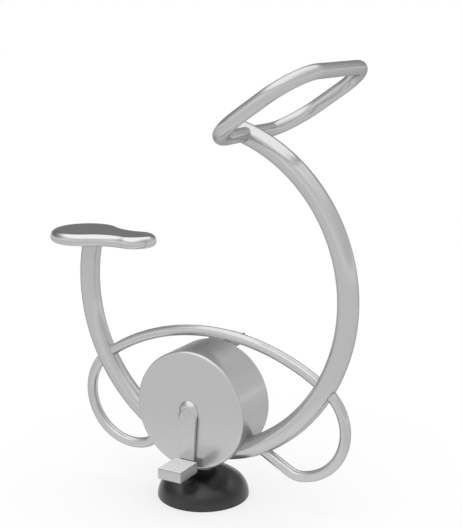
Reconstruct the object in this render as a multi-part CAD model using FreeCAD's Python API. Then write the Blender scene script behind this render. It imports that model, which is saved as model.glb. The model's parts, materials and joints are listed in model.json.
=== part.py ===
import FreeCAD, Part
import math
import os
from FreeCAD import Vector

# Outdoor exercise bike: one curved spine tube carries the saddle, the handlebar loop and a closed crank drum.
# Millimetres. X is forward, Y is the rider's left, Z is up. The origin is on the ground under the crank axle.

# Base: flange on the foundation, neck, gussets and the dome over them
flange_radius = 110
flange_thickness = 12
anchor_circle_diameter = 170
anchor_count = 4
anchor_hole_radius = 9
neck_radius = 38.05
neck_wall = 4
gusset_thickness = 8
gusset_height = 36
gusset_length = 34
dome_radius = 145
dome_height = 98
dome_lip_height = 2
dome_shoulder_radius = 72
dome_wall = 5
dome_clearance = 0.5

# Spine: four tangent arcs, rear, bottom, fore and front; its lowest point hangs under the crank axle
spine_radius = 31.75
spine_wall = 3.2
spine_low_offset = 20.4
spine_drop_height = 140.9
spine_bottom_bend_radius = 395.3
spine_rear_bend_radius = 521
spine_fore_bend_radius = 543
spine_front_bend_radius = 509
spine_rear_joint_angle = 37
spine_fore_joint_angle = 31.5
spine_front_joint_angle = 77.2
spine_overrun_length = 40
cap_height = 7
cap_plug_length = 12
cap_plug_clearance = 0.5

# Handlebar: closed loop, its crosspiece goes through the spine
bar_radius = 21.2
bar_wall = 2.5
bar_angle = 68.9
bar_offset = 3
bar_slope_angle = 34.5
bar_length = 336
bar_width = 501
bar_corner_radius = 124

# Thin tube: arch over the drum, and a loop at each end that turns back to the spine
loop_tube_radius = 16.85
loop_tube_wall = 2.5
arch_centre_offset = 34.4
arch_rise_height = 47.9
arch_radius = 673.5
rear_loop_radius = 159
rear_loop_low_angle = 290
rear_end_radius = 60
rear_end_angle = 330
front_loop_radius = 158.5
front_loop_low_angle = -83
front_end_radius = 70
front_end_angle = -119

# Saddle: round rear lobe, drawn-in waist and nose, on a plate at the spine's rear end
saddle_top_height = 816
saddle_thickness = 37.6
saddle_setback_length = 28
saddle_rear_radius = 114
saddle_nose_radius = 66
saddle_lobe_spacing = 193
saddle_waist_radius = 150
saddle_top_edge_radius = 20
saddle_bottom_edge_radius = 14
saddle_rim_width = 18
saddle_crown_thickness = 16
boss_height = 10
boss_radius = 9
plate_thickness = 6
plate_width = 110
plate_corner_radius = 14
saddle_screw_pitch = 76
saddle_screw_radius = 4
saddle_screw_head_radius = 6.5
saddle_screw_head_height = 5
saddle_screw_grip_length = 8

# Drum: shell, far cover, the ring it screws to, and the axle seals
axle_height = 301.2
drum_radius = 188.3
drum_width = 170
drum_wall = 3
drum_edge_radius = 8
cover_edge_radius = 2.5
ring_width = 20
ring_depth = 12
cover_screw_count = 8
cover_screw_radius = 2.5
cover_screw_head_radius = 5
cover_screw_length = 10
seal_radius = 20
seal_flange_radius = 26
seal_flange_thickness = 3

# Crank axle and its housing
axle_radius = 12.5
axle_housing_length = 90
axle_housing_wall = 5
axle_bearing_radius = 26
axle_bearing_width = 15
bearing_shoulder_height = 2
running_clearance = 0.05
hanger_spacing = 32
hanger_thickness = 8
hanger_half_width = 50
axle_flange_offset = 5
axle_flange_radius = 30
axle_flange_thickness = 6

# Belt drive to the flywheel
drive_pitch_radius = 67.5
driven_pitch_radius = 22.5
belt_thickness = 2.5
belt_width = 14
belt_clearance = 0.3
pulley_flange_height = 3.5
pulley_flange_thickness = 1.5
pulley_side_clearance = 0.5
pulley_web_thickness = 6
pulley_rim_thickness = 7
pulley_gap = 3.1
pulley_screw_count = 4
pulley_screw_circle_diameter = 44
pulley_screw_start_angle = 45
pulley_screw_radius = 3
pulley_screw_head_radius = 5
pulley_screw_head_height = 4

# Flywheel and magnetic brake
shaft_radius = 6
flywheel_housing_length = 70
flywheel_housing_wall = 5
flywheel_bearing_radius = 16
flywheel_bearing_width = 10
flywheel_thickness = 16
flywheel_rim_width = 18
flywheel_web_thickness = 8
flywheel_hub_radius = 12
flywheel_hub_gap = 1.5
flywheel_axle_gap = 6.5
flywheel_drum_gap = 10
flywheel_housing_gap = 5
shaft_nut_sides = 6
shaft_nut_radius = 10
shaft_nut_height = 5
magnet_count = 5
magnet_radius = 8
magnet_height = 8
magnet_gap = 2
magnet_spread_angle = 110
brake_plate_thickness = 6
brake_plate_margin = 2
brake_plate_inner_radius = 30
brake_bolt_radius = 3
brake_bolt_head_radius = 5
brake_bolt_head_height = 4
standoff_radius = 6
standoff_edge_gap = 4
standoff_angle = 10

# Cranks and pedals
crank_length = 170
crank_head_radius = 33
crank_toe_radius = 21.5
crank_thickness = 12
crank_gap = 2.5
crank_edge_radius = 3
crank_square_width = 18
crank_recess_radius = 12
crank_recess_depth = 6
crank_cap_thickness = 2
crank_bolt_radius = 5
crank_bolt_length = 25
pedal_gap = 2
pedal_length = 98
pedal_depth = 82.4
pedal_height = 34.6
pedal_edge_radius = 3.5
groove_count = 5
groove_pitch = 16
groove_width = 2
groove_depth = 0.8
spindle_thread_radius = 8
spindle_radius = 7
spindle_flange_radius = 10.5
spindle_flange_thickness = 1.6
spindle_collar_radius = 10.5
spindle_collar_thickness = 3
spindle_end_gap = 2
bush_wall = 2
bush_length = 20
bush_spacing = 30
keeper_length = 46
keeper_height = 26
keeper_thickness = 3
keeper_clearance = 0.6
collar_clearance = 0.3
keeper_screw_pitch = 33
keeper_screw_radius = 2
keeper_screw_head_radius = 3.8
keeper_screw_length = 9

# How near an edge's box has to be to a level to count as lying on it
level_tolerance = 0.01

# Directions
ALONG_X = Vector(1, 0, 0)
ALONG_Y = Vector(0, 1, 0)
ALONG_Z = Vector(0, 0, 1)
GROUND = Vector(0, 0, 0)


def polar(centre, radius, angle):
    """Point in the XZ plane at an angle in degrees, counted from +X towards +Z."""
    turn = math.radians(angle)
    return centre + Vector(radius * math.cos(turn), 0, radius * math.sin(turn))


def angle_of(centre, point):
    """Angle in degrees of a point seen from a centre in the XZ plane, from 0 to 360."""
    return math.degrees(math.atan2(point.z - centre.z, point.x - centre.x)) % 360


def crossing(centre_a, radius_a, centre_b, radius_b):
    """The two points where two circles in the XZ plane cross, rear one first."""
    apart = centre_b - centre_a
    span = apart.Length
    along = (radius_a ** 2 - radius_b ** 2 + span ** 2) / (2 * span)
    aside = math.sqrt(radius_a ** 2 - along ** 2)
    way = apart * (1 / span)
    foot = centre_a + way * along
    side = Vector(way.z, 0, -way.x) * aside
    return sorted([foot + side, foot - side], key=lambda point: point.x)


def reach_circle(start, way, centre, radius):
    """Length of a straight run from a start point to the first point of a circle."""
    offset = start - centre
    half = offset.dot(way)
    return max(0, -half - math.sqrt(max(0, half ** 2 - offset.dot(offset) + radius ** 2)))


def bent_rod(centre, bend, start, end, radius):
    """Round rod along an arc in the XZ plane, from one angle up to a larger one."""
    turn = math.radians(start)
    along = Vector(-math.sin(turn), 0, math.cos(turn))
    disc = Part.Face(Part.Wire(Part.makeCircle(radius, polar(centre, bend, start), along)))
    return disc.revolve(centre, -ALONG_Y, end - start)


def straight_rod(start, end, radius):
    """Round rod between two points."""
    way = end - start
    return Part.makeCylinder(radius, way.Length, start, way)


def rod(path, radius):
    """Round rod along a path of arcs (centre, bend, start, end) and straight runs (start, end)."""
    runs = []
    for run in path:
        runs.append(bent_rod(*run, radius) if len(run) == 4 else straight_rod(*run, radius))
    return runs[0] if len(runs) == 1 else runs[0].fuse(runs[1:])


def tube(path, radius, wall):
    """Round tube along a path."""
    return rod(path, radius).cut(rod(path, radius - wall))


def largest(shape):
    """The largest solid of a shape."""
    return max(shape.Solids, key=lambda solid: solid.Volume)


def disc_y(radius, start, end, x=0, z=0):
    """Cylinder along Y between two values of Y."""
    low, high = sorted((start, end))
    return Part.makeCylinder(radius, high - low, Vector(x, low, z), ALONG_Y)


def cone_y(radius_start, radius_end, start, end, x=0, z=0):
    """Cone along Y from one value of Y to another."""
    way = ALONG_Y if end > start else -ALONG_Y
    return Part.makeCone(radius_start, radius_end, abs(end - start), Vector(x, start, z), way)


def ring_y(outer, inner, start, end, x=0, z=0):
    """Ring along Y between two values of Y."""
    return disc_y(outer, start, end, x, z).cut(disc_y(inner, start, end, x, z))


def around(count, circle, start=0):
    """Evenly spread points (a, b) on a circle."""
    for number in range(count):
        turn = math.radians(start + 360 * number / count)
        yield circle * math.cos(turn), circle * math.sin(turn)


def mirrored(shape):
    """The same piece on the rider's other side."""
    return shape.mirror(GROUND, ALONG_Y)


def opposite(shape):
    """The same piece half a turn of the crank away, on the other side."""
    turned = shape.copy()
    turned.rotate(Vector(0, 0, axle_height), ALONG_X, 180)
    return turned


# Spine path
spine_low_height = axle_height - spine_drop_height
low_centre = Vector(spine_low_offset, 0, spine_low_height + spine_bottom_bend_radius)
rear_joint = 270 - spine_rear_joint_angle
fore_joint = 270 + spine_fore_joint_angle
front_joint = 270 + spine_front_joint_angle
rear_centre = polar(low_centre, spine_bottom_bend_radius - spine_rear_bend_radius, rear_joint)
fore_centre = polar(low_centre, spine_bottom_bend_radius - spine_fore_bend_radius, fore_joint)
front_centre = polar(fore_centre, spine_fore_bend_radius - spine_front_bend_radius, front_joint)

# Saddle levels and the post under it
saddle_bottom = saddle_top_height - saddle_thickness
pocket_roof = saddle_top_height - saddle_crown_thickness
plate_top = pocket_roof - boss_height
plate_bottom = plate_top - plate_thickness
post_lean = math.degrees(math.asin((plate_bottom - rear_centre.z) / spine_rear_bend_radius))
post_x = polar(rear_centre, spine_rear_bend_radius, 180 - post_lean).x
post_margin = math.degrees(spine_radius / spine_rear_bend_radius)
spine_end = bar_angle + math.degrees(spine_overrun_length / spine_front_bend_radius)
spine_path = [
    (rear_centre, spine_rear_bend_radius, 180 - post_lean - post_margin, rear_joint),
    (low_centre, spine_bottom_bend_radius, rear_joint, fore_joint),
    (fore_centre, spine_fore_bend_radius, fore_joint, front_joint),
    (front_centre, spine_front_bend_radius, front_joint - 360, spine_end),
]
spine_rod = rod(spine_path, spine_radius)

# Handlebar place: the middle of the crosspiece
bar_place = polar(front_centre, spine_front_bend_radius + bar_offset, bar_angle)

# Arch: its top over the drum, and the angles on its circle where it meets the spine
arch_top_height = axle_height + drum_radius + arch_rise_height
arch_centre = Vector(arch_centre_offset, 0, arch_top_height - arch_radius)
arch_rear = angle_of(arch_centre, crossing(arch_centre, arch_radius, rear_centre, spine_rear_bend_radius)[0])
arch_front_place = crossing(arch_centre, arch_radius, fore_centre, spine_fore_bend_radius)[1]
arch_front = angle_of(arch_centre, arch_front_place)

# Drum levels along Y
drum_half = drum_width / 2
face_inside = drum_half - drum_wall
drum_inside = drum_radius - drum_wall
housing_end = axle_housing_length / 2
axle_end = drum_half + crank_gap
pulley_start = housing_end + axle_flange_offset + axle_flange_thickness
pulley_width = belt_width + 2 * (pulley_side_clearance + pulley_flange_thickness)
belt_start = pulley_start + pulley_flange_thickness + pulley_side_clearance
drive_radius = drive_pitch_radius - belt_thickness / 2 - belt_clearance
driven_radius = driven_pitch_radius - belt_thickness / 2 - belt_clearance
drive_flange = drive_radius + pulley_flange_height
driven_flange = driven_radius + pulley_flange_height

# Flywheel place and levels
flywheel_rise = drive_flange + driven_flange + pulley_gap
flywheel_height = axle_height + flywheel_rise
flywheel_radius = min(flywheel_rise - axle_radius - flywheel_axle_gap,
                      drum_inside - flywheel_rise - flywheel_drum_gap)
flywheel_inner_face = -housing_end - flywheel_housing_gap
flywheel_outer_face = flywheel_inner_face - flywheel_thickness
shaft_housing_end = flywheel_housing_length / 2
magnet_circle = flywheel_radius - magnet_radius - brake_plate_margin
magnet_face = flywheel_inner_face + magnet_gap
brake_face = magnet_face + magnet_height
brake_back = brake_face + brake_plate_thickness
hanger_inner = hanger_spacing / 2
hanger_outer = hanger_inner + hanger_thickness
axle_housing_radius = axle_bearing_radius + axle_housing_wall
shaft_housing_radius = flywheel_bearing_radius + flywheel_housing_wall
standoff_circle = hanger_half_width - standoff_radius - standoff_edge_gap

# Crank and pedal levels along Y, on the rider's right
crank_inner = -axle_end
crank_outer = crank_inner - crank_thickness
pedal_inner = crank_outer - pedal_gap
pedal_outer = pedal_inner - pedal_length
pedal_axis = axle_height - crank_length
recess_floor = crank_outer + crank_recess_depth


def make_base_flange():
    flange = Part.makeCylinder(flange_radius, flange_thickness)
    for x, y in around(anchor_count, anchor_circle_diameter / 2):
        flange = flange.cut(Part.makeCylinder(anchor_hole_radius, flange_thickness, Vector(x, y, 0)))
    return flange


def make_neck_tube():
    height = spine_low_height - flange_thickness
    foot = Vector(0, 0, flange_thickness)
    neck = Part.makeCylinder(neck_radius, height, foot)
    neck = neck.cut(Part.makeCylinder(neck_radius - neck_wall, height, foot))
    return largest(neck.cut(spine_rod))


def make_flange_gussets():
    foot = Vector(neck_radius, -gusset_thickness / 2, flange_thickness)
    corners = [GROUND, Vector(gusset_length, 0, 0), Vector(0, 0, gusset_height), GROUND]
    blade = Part.Face(Part.makePolygon([foot + corner for corner in corners]))
    blade = blade.extrude(ALONG_Y * gusset_thickness)
    root = Part.makeBox(neck_radius, gusset_thickness, gusset_height, Vector(0, foot.y, foot.z))
    blade = blade.fuse(root).cut(Part.makeCylinder(neck_radius, gusset_height, Vector(0, 0, foot.z)))
    gussets = []
    for number in range(anchor_count):
        gusset = largest(blade)
        gusset.rotate(GROUND, ALONG_Z, (number + 0.5) * 360 / anchor_count)
        gussets.append(gusset)
    return Part.makeCompound(gussets)


def make_base_cover():
    hole = neck_radius + dome_clearance
    shoulder_x = dome_radius - dome_shoulder_radius
    rise = dome_height - dome_lip_height
    crown = (shoulder_x ** 2 + rise ** 2 - dome_shoulder_radius ** 2) / (2 * (rise - dome_shoulder_radius))
    crown_centre = Vector(0, 0, dome_height - crown)
    shoulder_centre = Vector(shoulder_x, 0, dome_lip_height)
    turn = angle_of(crown_centre, shoulder_centre)

    def side(depth):
        """Shoulder and crown arcs at a depth under the outer surface."""
        low = polar(shoulder_centre, dome_shoulder_radius - depth, 0)
        middle = polar(shoulder_centre, dome_shoulder_radius - depth, turn / 2)
        joint = polar(shoulder_centre, dome_shoulder_radius - depth, turn)
        edge = 90 - math.degrees(math.asin(hole / (crown - depth)))
        high = polar(crown_centre, crown - depth, edge)
        between = polar(crown_centre, crown - depth, (turn + edge) / 2)
        arcs = [Part.Arc(low, middle, joint).toShape(), Part.Arc(joint, between, high).toShape()]
        return low, high, arcs

    outer_low, outer_high, outer_arcs = side(0)
    inner_low, inner_high, inner_arcs = side(dome_wall)
    outer_foot = Vector(outer_low.x, 0, 0)
    inner_foot = Vector(inner_low.x, 0, 0)
    edges = outer_arcs + inner_arcs
    edges.append(Part.makeLine(outer_foot, outer_low))
    edges.append(Part.makeLine(inner_foot, inner_low))
    edges.append(Part.makeLine(outer_foot, inner_foot))
    edges.append(Part.makeLine(outer_high, inner_high))
    profile = Part.Face(Part.Wire(Part.__sortEdges__(edges)))
    return profile.revolve(GROUND, ALONG_Z, 360)


def bar_path():
    """The handlebar loop in the XZ plane: X up the slope from the crosspiece, Z across the bike."""
    half = bar_width / 2
    near = bar_corner_radius
    far = bar_length - bar_corner_radius
    side = half - bar_corner_radius
    return [
        (Vector(0, 0, -side), Vector(0, 0, side)),
        (Vector(near, 0, side), bar_corner_radius, 90, 180),
        (Vector(near, 0, half), Vector(far, 0, half)),
        (Vector(far, 0, side), bar_corner_radius, 0, 90),
        (Vector(bar_length, 0, side), Vector(bar_length, 0, -side)),
        (Vector(far, 0, -side), bar_corner_radius, 270, 360),
        (Vector(far, 0, -half), Vector(near, 0, -half)),
        (Vector(near, 0, -side), bar_corner_radius, 180, 270),
    ]


def place_bar(shape):
    placed = shape.copy()
    placed.rotate(GROUND, ALONG_X, -90)
    placed.rotate(GROUND, ALONG_Y, -bar_slope_angle)
    placed.translate(bar_place)
    return placed


def make_handlebar_tube():
    return place_bar(tube(bar_path(), bar_radius, bar_wall))


def make_spine_tube():
    spine = tube(spine_path, spine_radius, spine_wall)
    reach = 2 * spine_radius
    over = Part.makeBox(2 * reach, 2 * reach, reach, Vector(post_x - reach, -reach, plate_bottom))
    return largest(spine.cut(over).cut(place_bar(rod(bar_path()[:1], bar_radius))))


def make_spine_cap():
    """Domed cap with a plug, turned about the line of the spine's end."""
    end = polar(front_centre, spine_front_bend_radius, spine_end)
    turn = math.radians(spine_end)
    way = Vector(-math.sin(turn), 0, math.cos(turn))
    side = Vector(math.cos(turn), 0, math.sin(turn))
    ball = (spine_radius ** 2 + cap_height ** 2) / (2 * cap_height)
    ball_centre = end + way * (cap_height - ball)
    lean = math.asin(spine_radius / ball) / 2
    top = end + way * cap_height
    halfway = ball_centre + (way * math.cos(lean) + side * math.sin(lean)) * ball
    rim = end + side * spine_radius
    plug_side = side * (spine_radius - spine_wall - cap_plug_clearance)
    foot = end - way * cap_plug_length
    edges = [Part.Arc(top, halfway, rim).toShape()]
    corners = [rim, end + plug_side, foot + plug_side, foot, top]
    for number in range(len(corners) - 1):
        edges.append(Part.makeLine(corners[number], corners[number + 1]))
    return Part.Face(Part.Wire(edges)).revolve(end, way, 360)


def make_arch_tube():
    arch = tube([(arch_centre, arch_radius, arch_front, arch_rear)], loop_tube_radius, loop_tube_wall)
    return largest(arch.cut(spine_rod))


def make_rear_loop_tube():
    centre = polar(arch_centre, arch_radius - rear_loop_radius, arch_rear)
    bend_centre = polar(centre, rear_loop_radius - rear_end_radius, rear_loop_low_angle)
    start = polar(bend_centre, rear_end_radius, rear_end_angle)
    turn = math.radians(rear_end_angle)
    way = Vector(-math.sin(turn), 0, math.cos(turn))
    end = start + way * reach_circle(start, way, low_centre, spine_bottom_bend_radius)
    path = [
        (centre, rear_loop_radius, arch_rear, rear_loop_low_angle),
        (bend_centre, rear_end_radius, rear_loop_low_angle, rear_end_angle),
        (start, end),
    ]
    return largest(tube(path, loop_tube_radius, loop_tube_wall).cut(spine_rod))


def make_front_loop_tube():
    centre = polar(arch_centre, arch_radius - front_loop_radius, arch_front)
    bend_centre = polar(centre, front_loop_radius - front_end_radius, front_loop_low_angle)
    start = polar(bend_centre, front_end_radius, front_end_angle)
    turn = math.radians(front_end_angle)
    way = Vector(math.sin(turn), 0, -math.cos(turn))
    end = start + way * reach_circle(start, way, low_centre, spine_bottom_bend_radius)
    path = [
        (centre, front_loop_radius, front_loop_low_angle, arch_front),
        (bend_centre, front_end_radius, front_end_angle, front_loop_low_angle),
        (start, end),
    ]
    return largest(tube(path, loop_tube_radius, loop_tube_wall).cut(spine_rod))


def saddle_outline(inset):
    """Plan of the saddle, drawn in by an inset: rear lobe, two waist arcs and nose."""
    rear_radius = saddle_rear_radius - inset
    nose_radius = saddle_nose_radius - inset
    waist = saddle_waist_radius + inset
    rear = Vector(post_x - saddle_setback_length, 0, 0)
    nose = rear + ALONG_X * saddle_lobe_spacing
    to_rear = rear_radius + waist
    to_nose = nose_radius + waist
    along = (to_rear ** 2 - to_nose ** 2 + saddle_lobe_spacing ** 2) / (2 * saddle_lobe_spacing)
    aside = math.sqrt(to_rear ** 2 - along ** 2)

    def flipped(point):
        return Vector(point.x, -point.y, point.z)

    pivot = rear + Vector(along, aside, 0)
    rear_joint_point = rear + (pivot - rear) * (rear_radius / to_rear)
    nose_joint_point = nose + (pivot - nose) * (nose_radius / to_nose)
    middle_way = (rear_joint_point + nose_joint_point) * 0.5 - pivot
    waist_point = pivot + middle_way * (waist / middle_way.Length)
    arcs = [
        Part.Arc(rear_joint_point, rear - ALONG_X * rear_radius, flipped(rear_joint_point)),
        Part.Arc(flipped(rear_joint_point), flipped(waist_point), flipped(nose_joint_point)),
        Part.Arc(flipped(nose_joint_point), nose + ALONG_X * nose_radius, nose_joint_point),
        Part.Arc(nose_joint_point, waist_point, rear_joint_point),
    ]
    return Part.Face(Part.Wire([arc.toShape() for arc in arcs]))


def saddle_screw_places():
    half = saddle_screw_pitch / 2
    return [Vector(post_x + x, y, 0) for x in (-half, half) for y in (-half, half)]


def make_saddle_shell():
    body = saddle_outline(0).extrude(ALONG_Z * saddle_thickness)
    top = [edge for edge in body.Edges if edge.BoundBox.ZMin > saddle_thickness - level_tolerance]
    body = body.makeFillet(saddle_top_edge_radius, top)
    bottom = [edge for edge in body.Edges if edge.BoundBox.ZMax < level_tolerance]
    body = body.makeFillet(saddle_bottom_edge_radius, bottom)
    body.translate(Vector(0, 0, saddle_bottom))
    pocket = saddle_outline(saddle_rim_width).extrude(ALONG_Z * (pocket_roof - saddle_bottom))
    pocket.translate(Vector(0, 0, saddle_bottom))
    for place in saddle_screw_places():
        pocket = pocket.cut(Part.makeCylinder(boss_radius, boss_height, place + ALONG_Z * plate_top))
    body = body.cut(pocket)
    for place in saddle_screw_places():
        hole = Part.makeCylinder(saddle_screw_radius, saddle_screw_grip_length, place + ALONG_Z * plate_top)
        body = body.cut(hole)
    return body


def make_saddle_plate():
    corner = Vector(post_x - plate_width / 2, -plate_width / 2, plate_bottom)
    plate = Part.makeBox(plate_width, plate_width, plate_thickness, corner)
    upright = [edge for edge in plate.Edges if edge.BoundBox.ZLength > plate_thickness / 2]
    plate = plate.makeFillet(plate_corner_radius, upright)
    for place in saddle_screw_places():
        hole = Part.makeCylinder(saddle_screw_radius, plate_thickness, place + ALONG_Z * plate_bottom)
        plate = plate.cut(hole)
    return plate


def make_saddle_screws():
    screws = []
    for place in saddle_screw_places():
        under = place + ALONG_Z * (plate_bottom - saddle_screw_head_height)
        head = Part.makeCylinder(saddle_screw_head_radius, saddle_screw_head_height, under)
        length = saddle_screw_head_height + plate_thickness + saddle_screw_grip_length
        screws.append(head.fuse(Part.makeCylinder(saddle_screw_radius, length, under)))
    return Part.makeCompound(screws)


def round_end(shape, level, radius, size):
    """Rounds the outer edge of a drum-shaped solid at one end."""
    edges = [edge for edge in shape.Edges
             if abs(edge.BoundBox.YMin - level) < level_tolerance
             and abs(edge.BoundBox.YMax - level) < level_tolerance
             and edge.BoundBox.ZLength > 2 * radius - level_tolerance]
    return shape.makeFillet(size, edges)


def make_drum_shell():
    outer = disc_y(drum_radius, -drum_half, face_inside, 0, axle_height)
    outer = round_end(outer, -drum_half, drum_radius, drum_edge_radius)
    inner = disc_y(drum_inside, -face_inside, face_inside, 0, axle_height)
    inner = round_end(inner, -face_inside, drum_inside, drum_edge_radius - drum_wall)
    shell = outer.cut(inner)
    shell = shell.cut(disc_y(seal_radius, -drum_half, -face_inside, 0, axle_height))
    return largest(shell.cut(spine_rod).cut(Part.makeCylinder(neck_radius, axle_height)))


def cover_screw_places():
    circle = drum_inside - ring_width / 2
    return [(x, axle_height + z) for x, z in around(cover_screw_count, circle, 180 / cover_screw_count)]


def cover_screw(x, z):
    head_height = cover_screw_head_radius - cover_screw_radius
    head = cone_y(cover_screw_head_radius, cover_screw_radius, drum_half, drum_half - head_height, x, z)
    return head.fuse(disc_y(cover_screw_radius, drum_half, face_inside - cover_screw_length, x, z))


def make_drum_cover():
    cover = disc_y(drum_radius, face_inside, drum_half, 0, axle_height)
    cover = round_end(cover, drum_half, drum_radius, cover_edge_radius)
    cover = cover.cut(disc_y(seal_radius, face_inside, drum_half, 0, axle_height))
    for x, z in cover_screw_places():
        cover = cover.cut(cover_screw(x, z))
    return cover


def make_cover_ring():
    inside = drum_inside - ring_width
    ring = ring_y(drum_inside, inside, face_inside - ring_depth, face_inside, 0, axle_height)
    for x, z in cover_screw_places():
        ring = ring.cut(cover_screw(x, z))
    return ring


def make_cover_screws():
    return Part.makeCompound([cover_screw(x, z) for x, z in cover_screw_places()])


def make_axle_seal():
    body = disc_y(seal_radius, -drum_half, -face_inside, 0, axle_height)
    flange = disc_y(seal_flange_radius, -face_inside, -face_inside + seal_flange_thickness, 0, axle_height)
    return body.fuse(flange).cut(disc_y(axle_radius + running_clearance, -drum_half, 0, 0, axle_height))


def brake_bolt_places():
    return [polar(Vector(0, 0, flywheel_height), standoff_circle, angle)
            for angle in (standoff_angle, 180 - standoff_angle)]


def make_hanger_plate():
    """The right plate: from the spine past both housings, with a round top."""
    corner = Vector(-hanger_half_width, -hanger_outer, spine_low_height)
    plate = Part.makeBox(2 * hanger_half_width, hanger_thickness, flywheel_height - spine_low_height, corner)
    plate = plate.fuse(disc_y(hanger_half_width, -hanger_outer, -hanger_inner, 0, flywheel_height))
    plate = plate.cut(disc_y(axle_housing_radius, -hanger_outer, -hanger_inner, 0, axle_height))
    plate = plate.cut(disc_y(shaft_housing_radius, -hanger_outer, -hanger_inner, 0, flywheel_height))
    return largest(plate.cut(spine_rod))


def make_right_hanger_plate():
    plate = make_hanger_plate()
    for place in brake_bolt_places():
        plate = plate.cut(disc_y(brake_bolt_radius, -hanger_outer, -hanger_inner, place.x, place.z))
    return plate


def make_housing(radius, bearing_radius, bearing_width, half_length, height):
    """Tube along Y with a bearing seat in each end."""
    housing = ring_y(radius, bearing_radius - bearing_shoulder_height, -half_length, half_length, 0, height)
    for end in (-half_length, half_length):
        seat = end - math.copysign(bearing_width, end)
        housing = housing.cut(disc_y(bearing_radius, seat, end, 0, height))
    return housing


def make_bearing(bore, radius, width, half_length, height):
    """The right bearing of a housing."""
    return ring_y(radius, bore + running_clearance, -half_length, -half_length + width, 0, height)


def square_end(start, end, side):
    """Square peg along Y on the crank axle's line."""
    low, high = sorted((start, end))
    return Part.makeBox(side, high - low, side, Vector(-side / 2, low, axle_height - side / 2))


def make_crank_axle():
    axle = disc_y(axle_radius, -axle_end, axle_end, 0, axle_height)
    flange_start = housing_end + axle_flange_offset
    axle = axle.fuse(disc_y(axle_flange_radius, flange_start, pulley_start, 0, axle_height))
    axle = axle.fuse(square_end(crank_inner, recess_floor, crank_square_width))
    axle = axle.fuse(square_end(-crank_inner, -recess_floor, crank_square_width))
    for end in (recess_floor, -recess_floor):
        depth = end - math.copysign(crank_bolt_length, end)
        axle = axle.cut(disc_y(crank_bolt_radius, depth, end, 0, axle_height))
    for x, z in around(pulley_screw_count, pulley_screw_circle_diameter / 2, pulley_screw_start_angle):
        axle = axle.cut(disc_y(pulley_screw_radius, flange_start, pulley_start, x, axle_height + z))
    return axle


def pulley(radius, bore, height):
    """Flat belt pulley with two side flanges, solid from rim to bore."""
    end = pulley_start + pulley_width
    wheel = disc_y(radius, pulley_start, end, 0, height)
    for start in (pulley_start, end - pulley_flange_thickness):
        rim = disc_y(radius + pulley_flange_height, start, start + pulley_flange_thickness, 0, height)
        wheel = wheel.fuse(rim)
    return wheel.cut(disc_y(bore, pulley_start, end, 0, height))


def make_drive_pulley():
    wheel = pulley(drive_radius, axle_radius, axle_height)
    web = pulley_start + pulley_web_thickness
    recess_radius = drive_radius - pulley_rim_thickness
    wheel = wheel.cut(disc_y(recess_radius, web, pulley_start + pulley_width, 0, axle_height))
    for x, z in around(pulley_screw_count, pulley_screw_circle_diameter / 2, pulley_screw_start_angle):
        wheel = wheel.cut(disc_y(pulley_screw_radius, pulley_start, web, x, axle_height + z))
    return wheel


def make_pulley_screws():
    screws = []
    top = pulley_start + pulley_web_thickness
    for x, z in around(pulley_screw_count, pulley_screw_circle_diameter / 2, pulley_screw_start_angle):
        shank = disc_y(pulley_screw_radius, housing_end + axle_flange_offset, top, x, axle_height + z)
        head = disc_y(pulley_screw_head_radius, top, top + pulley_screw_head_height, x, axle_height + z)
        screws.append(shank.fuse(head))
    return Part.makeCompound(screws)


def belt_face(drive, driven):
    """Face inside a line drawn tight round both pulleys."""
    low = Vector(0, belt_start, axle_height)
    high = Vector(0, belt_start, flywheel_height)
    lean = math.degrees(math.asin((drive - driven) / flywheel_rise))
    corners = [polar(low, drive, lean), polar(high, driven, lean)]
    corners += [polar(high, driven, 180 - lean), polar(low, drive, 180 - lean)]
    edges = [
        Part.makeLine(corners[0], corners[1]),
        Part.Arc(corners[1], polar(high, driven, 90), corners[2]).toShape(),
        Part.makeLine(corners[2], corners[3]),
        Part.Arc(corners[3], polar(low, drive, 270), corners[0]).toShape(),
    ]
    return Part.Face(Part.Wire(edges))


def make_drive_belt():
    half = belt_thickness / 2
    outer = belt_face(drive_pitch_radius + half, driven_pitch_radius + half)
    inner = belt_face(drive_pitch_radius - half, driven_pitch_radius - half)
    return outer.extrude(ALONG_Y * belt_width).cut(inner.extrude(ALONG_Y * belt_width))


def make_flywheel():
    wheel = disc_y(flywheel_radius, flywheel_outer_face, flywheel_inner_face, 0, flywheel_height)
    recess = (flywheel_thickness - flywheel_web_thickness) / 2
    for face in (flywheel_outer_face, flywheel_inner_face):
        floor = face + (recess if face == flywheel_outer_face else -recess)
        rim_inside = flywheel_radius - flywheel_rim_width
        hollow = ring_y(rim_inside, flywheel_hub_radius, face, floor, 0, flywheel_height)
        wheel = wheel.cut(hollow)
    hub_end = -shaft_housing_end - flywheel_hub_gap
    wheel = wheel.fuse(disc_y(flywheel_hub_radius, flywheel_outer_face, hub_end, 0, flywheel_height))
    return wheel.cut(disc_y(shaft_radius, flywheel_outer_face, hub_end, 0, flywheel_height))


def make_flywheel_shaft():
    start = flywheel_outer_face - shaft_nut_height
    end = pulley_start + pulley_width + shaft_nut_height
    return disc_y(shaft_radius, start, end, 0, flywheel_height)


def make_flywheel_nuts():
    end = pulley_start + pulley_width
    spans = [(flywheel_outer_face - shaft_nut_height, flywheel_outer_face), (end, end + shaft_nut_height)]
    nuts = []
    for start, stop in spans:
        corners = [Vector(x, start, flywheel_height + z)
                   for x, z in around(shaft_nut_sides, shaft_nut_radius)]
        nut = Part.Face(Part.makePolygon(corners + corners[:1])).extrude(ALONG_Y * (stop - start))
        nuts.append(nut.cut(disc_y(shaft_radius, start, stop, 0, flywheel_height)))
    return Part.makeCompound(nuts)


def make_driven_pulley():
    return pulley(driven_radius, shaft_radius, flywheel_height)


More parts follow.
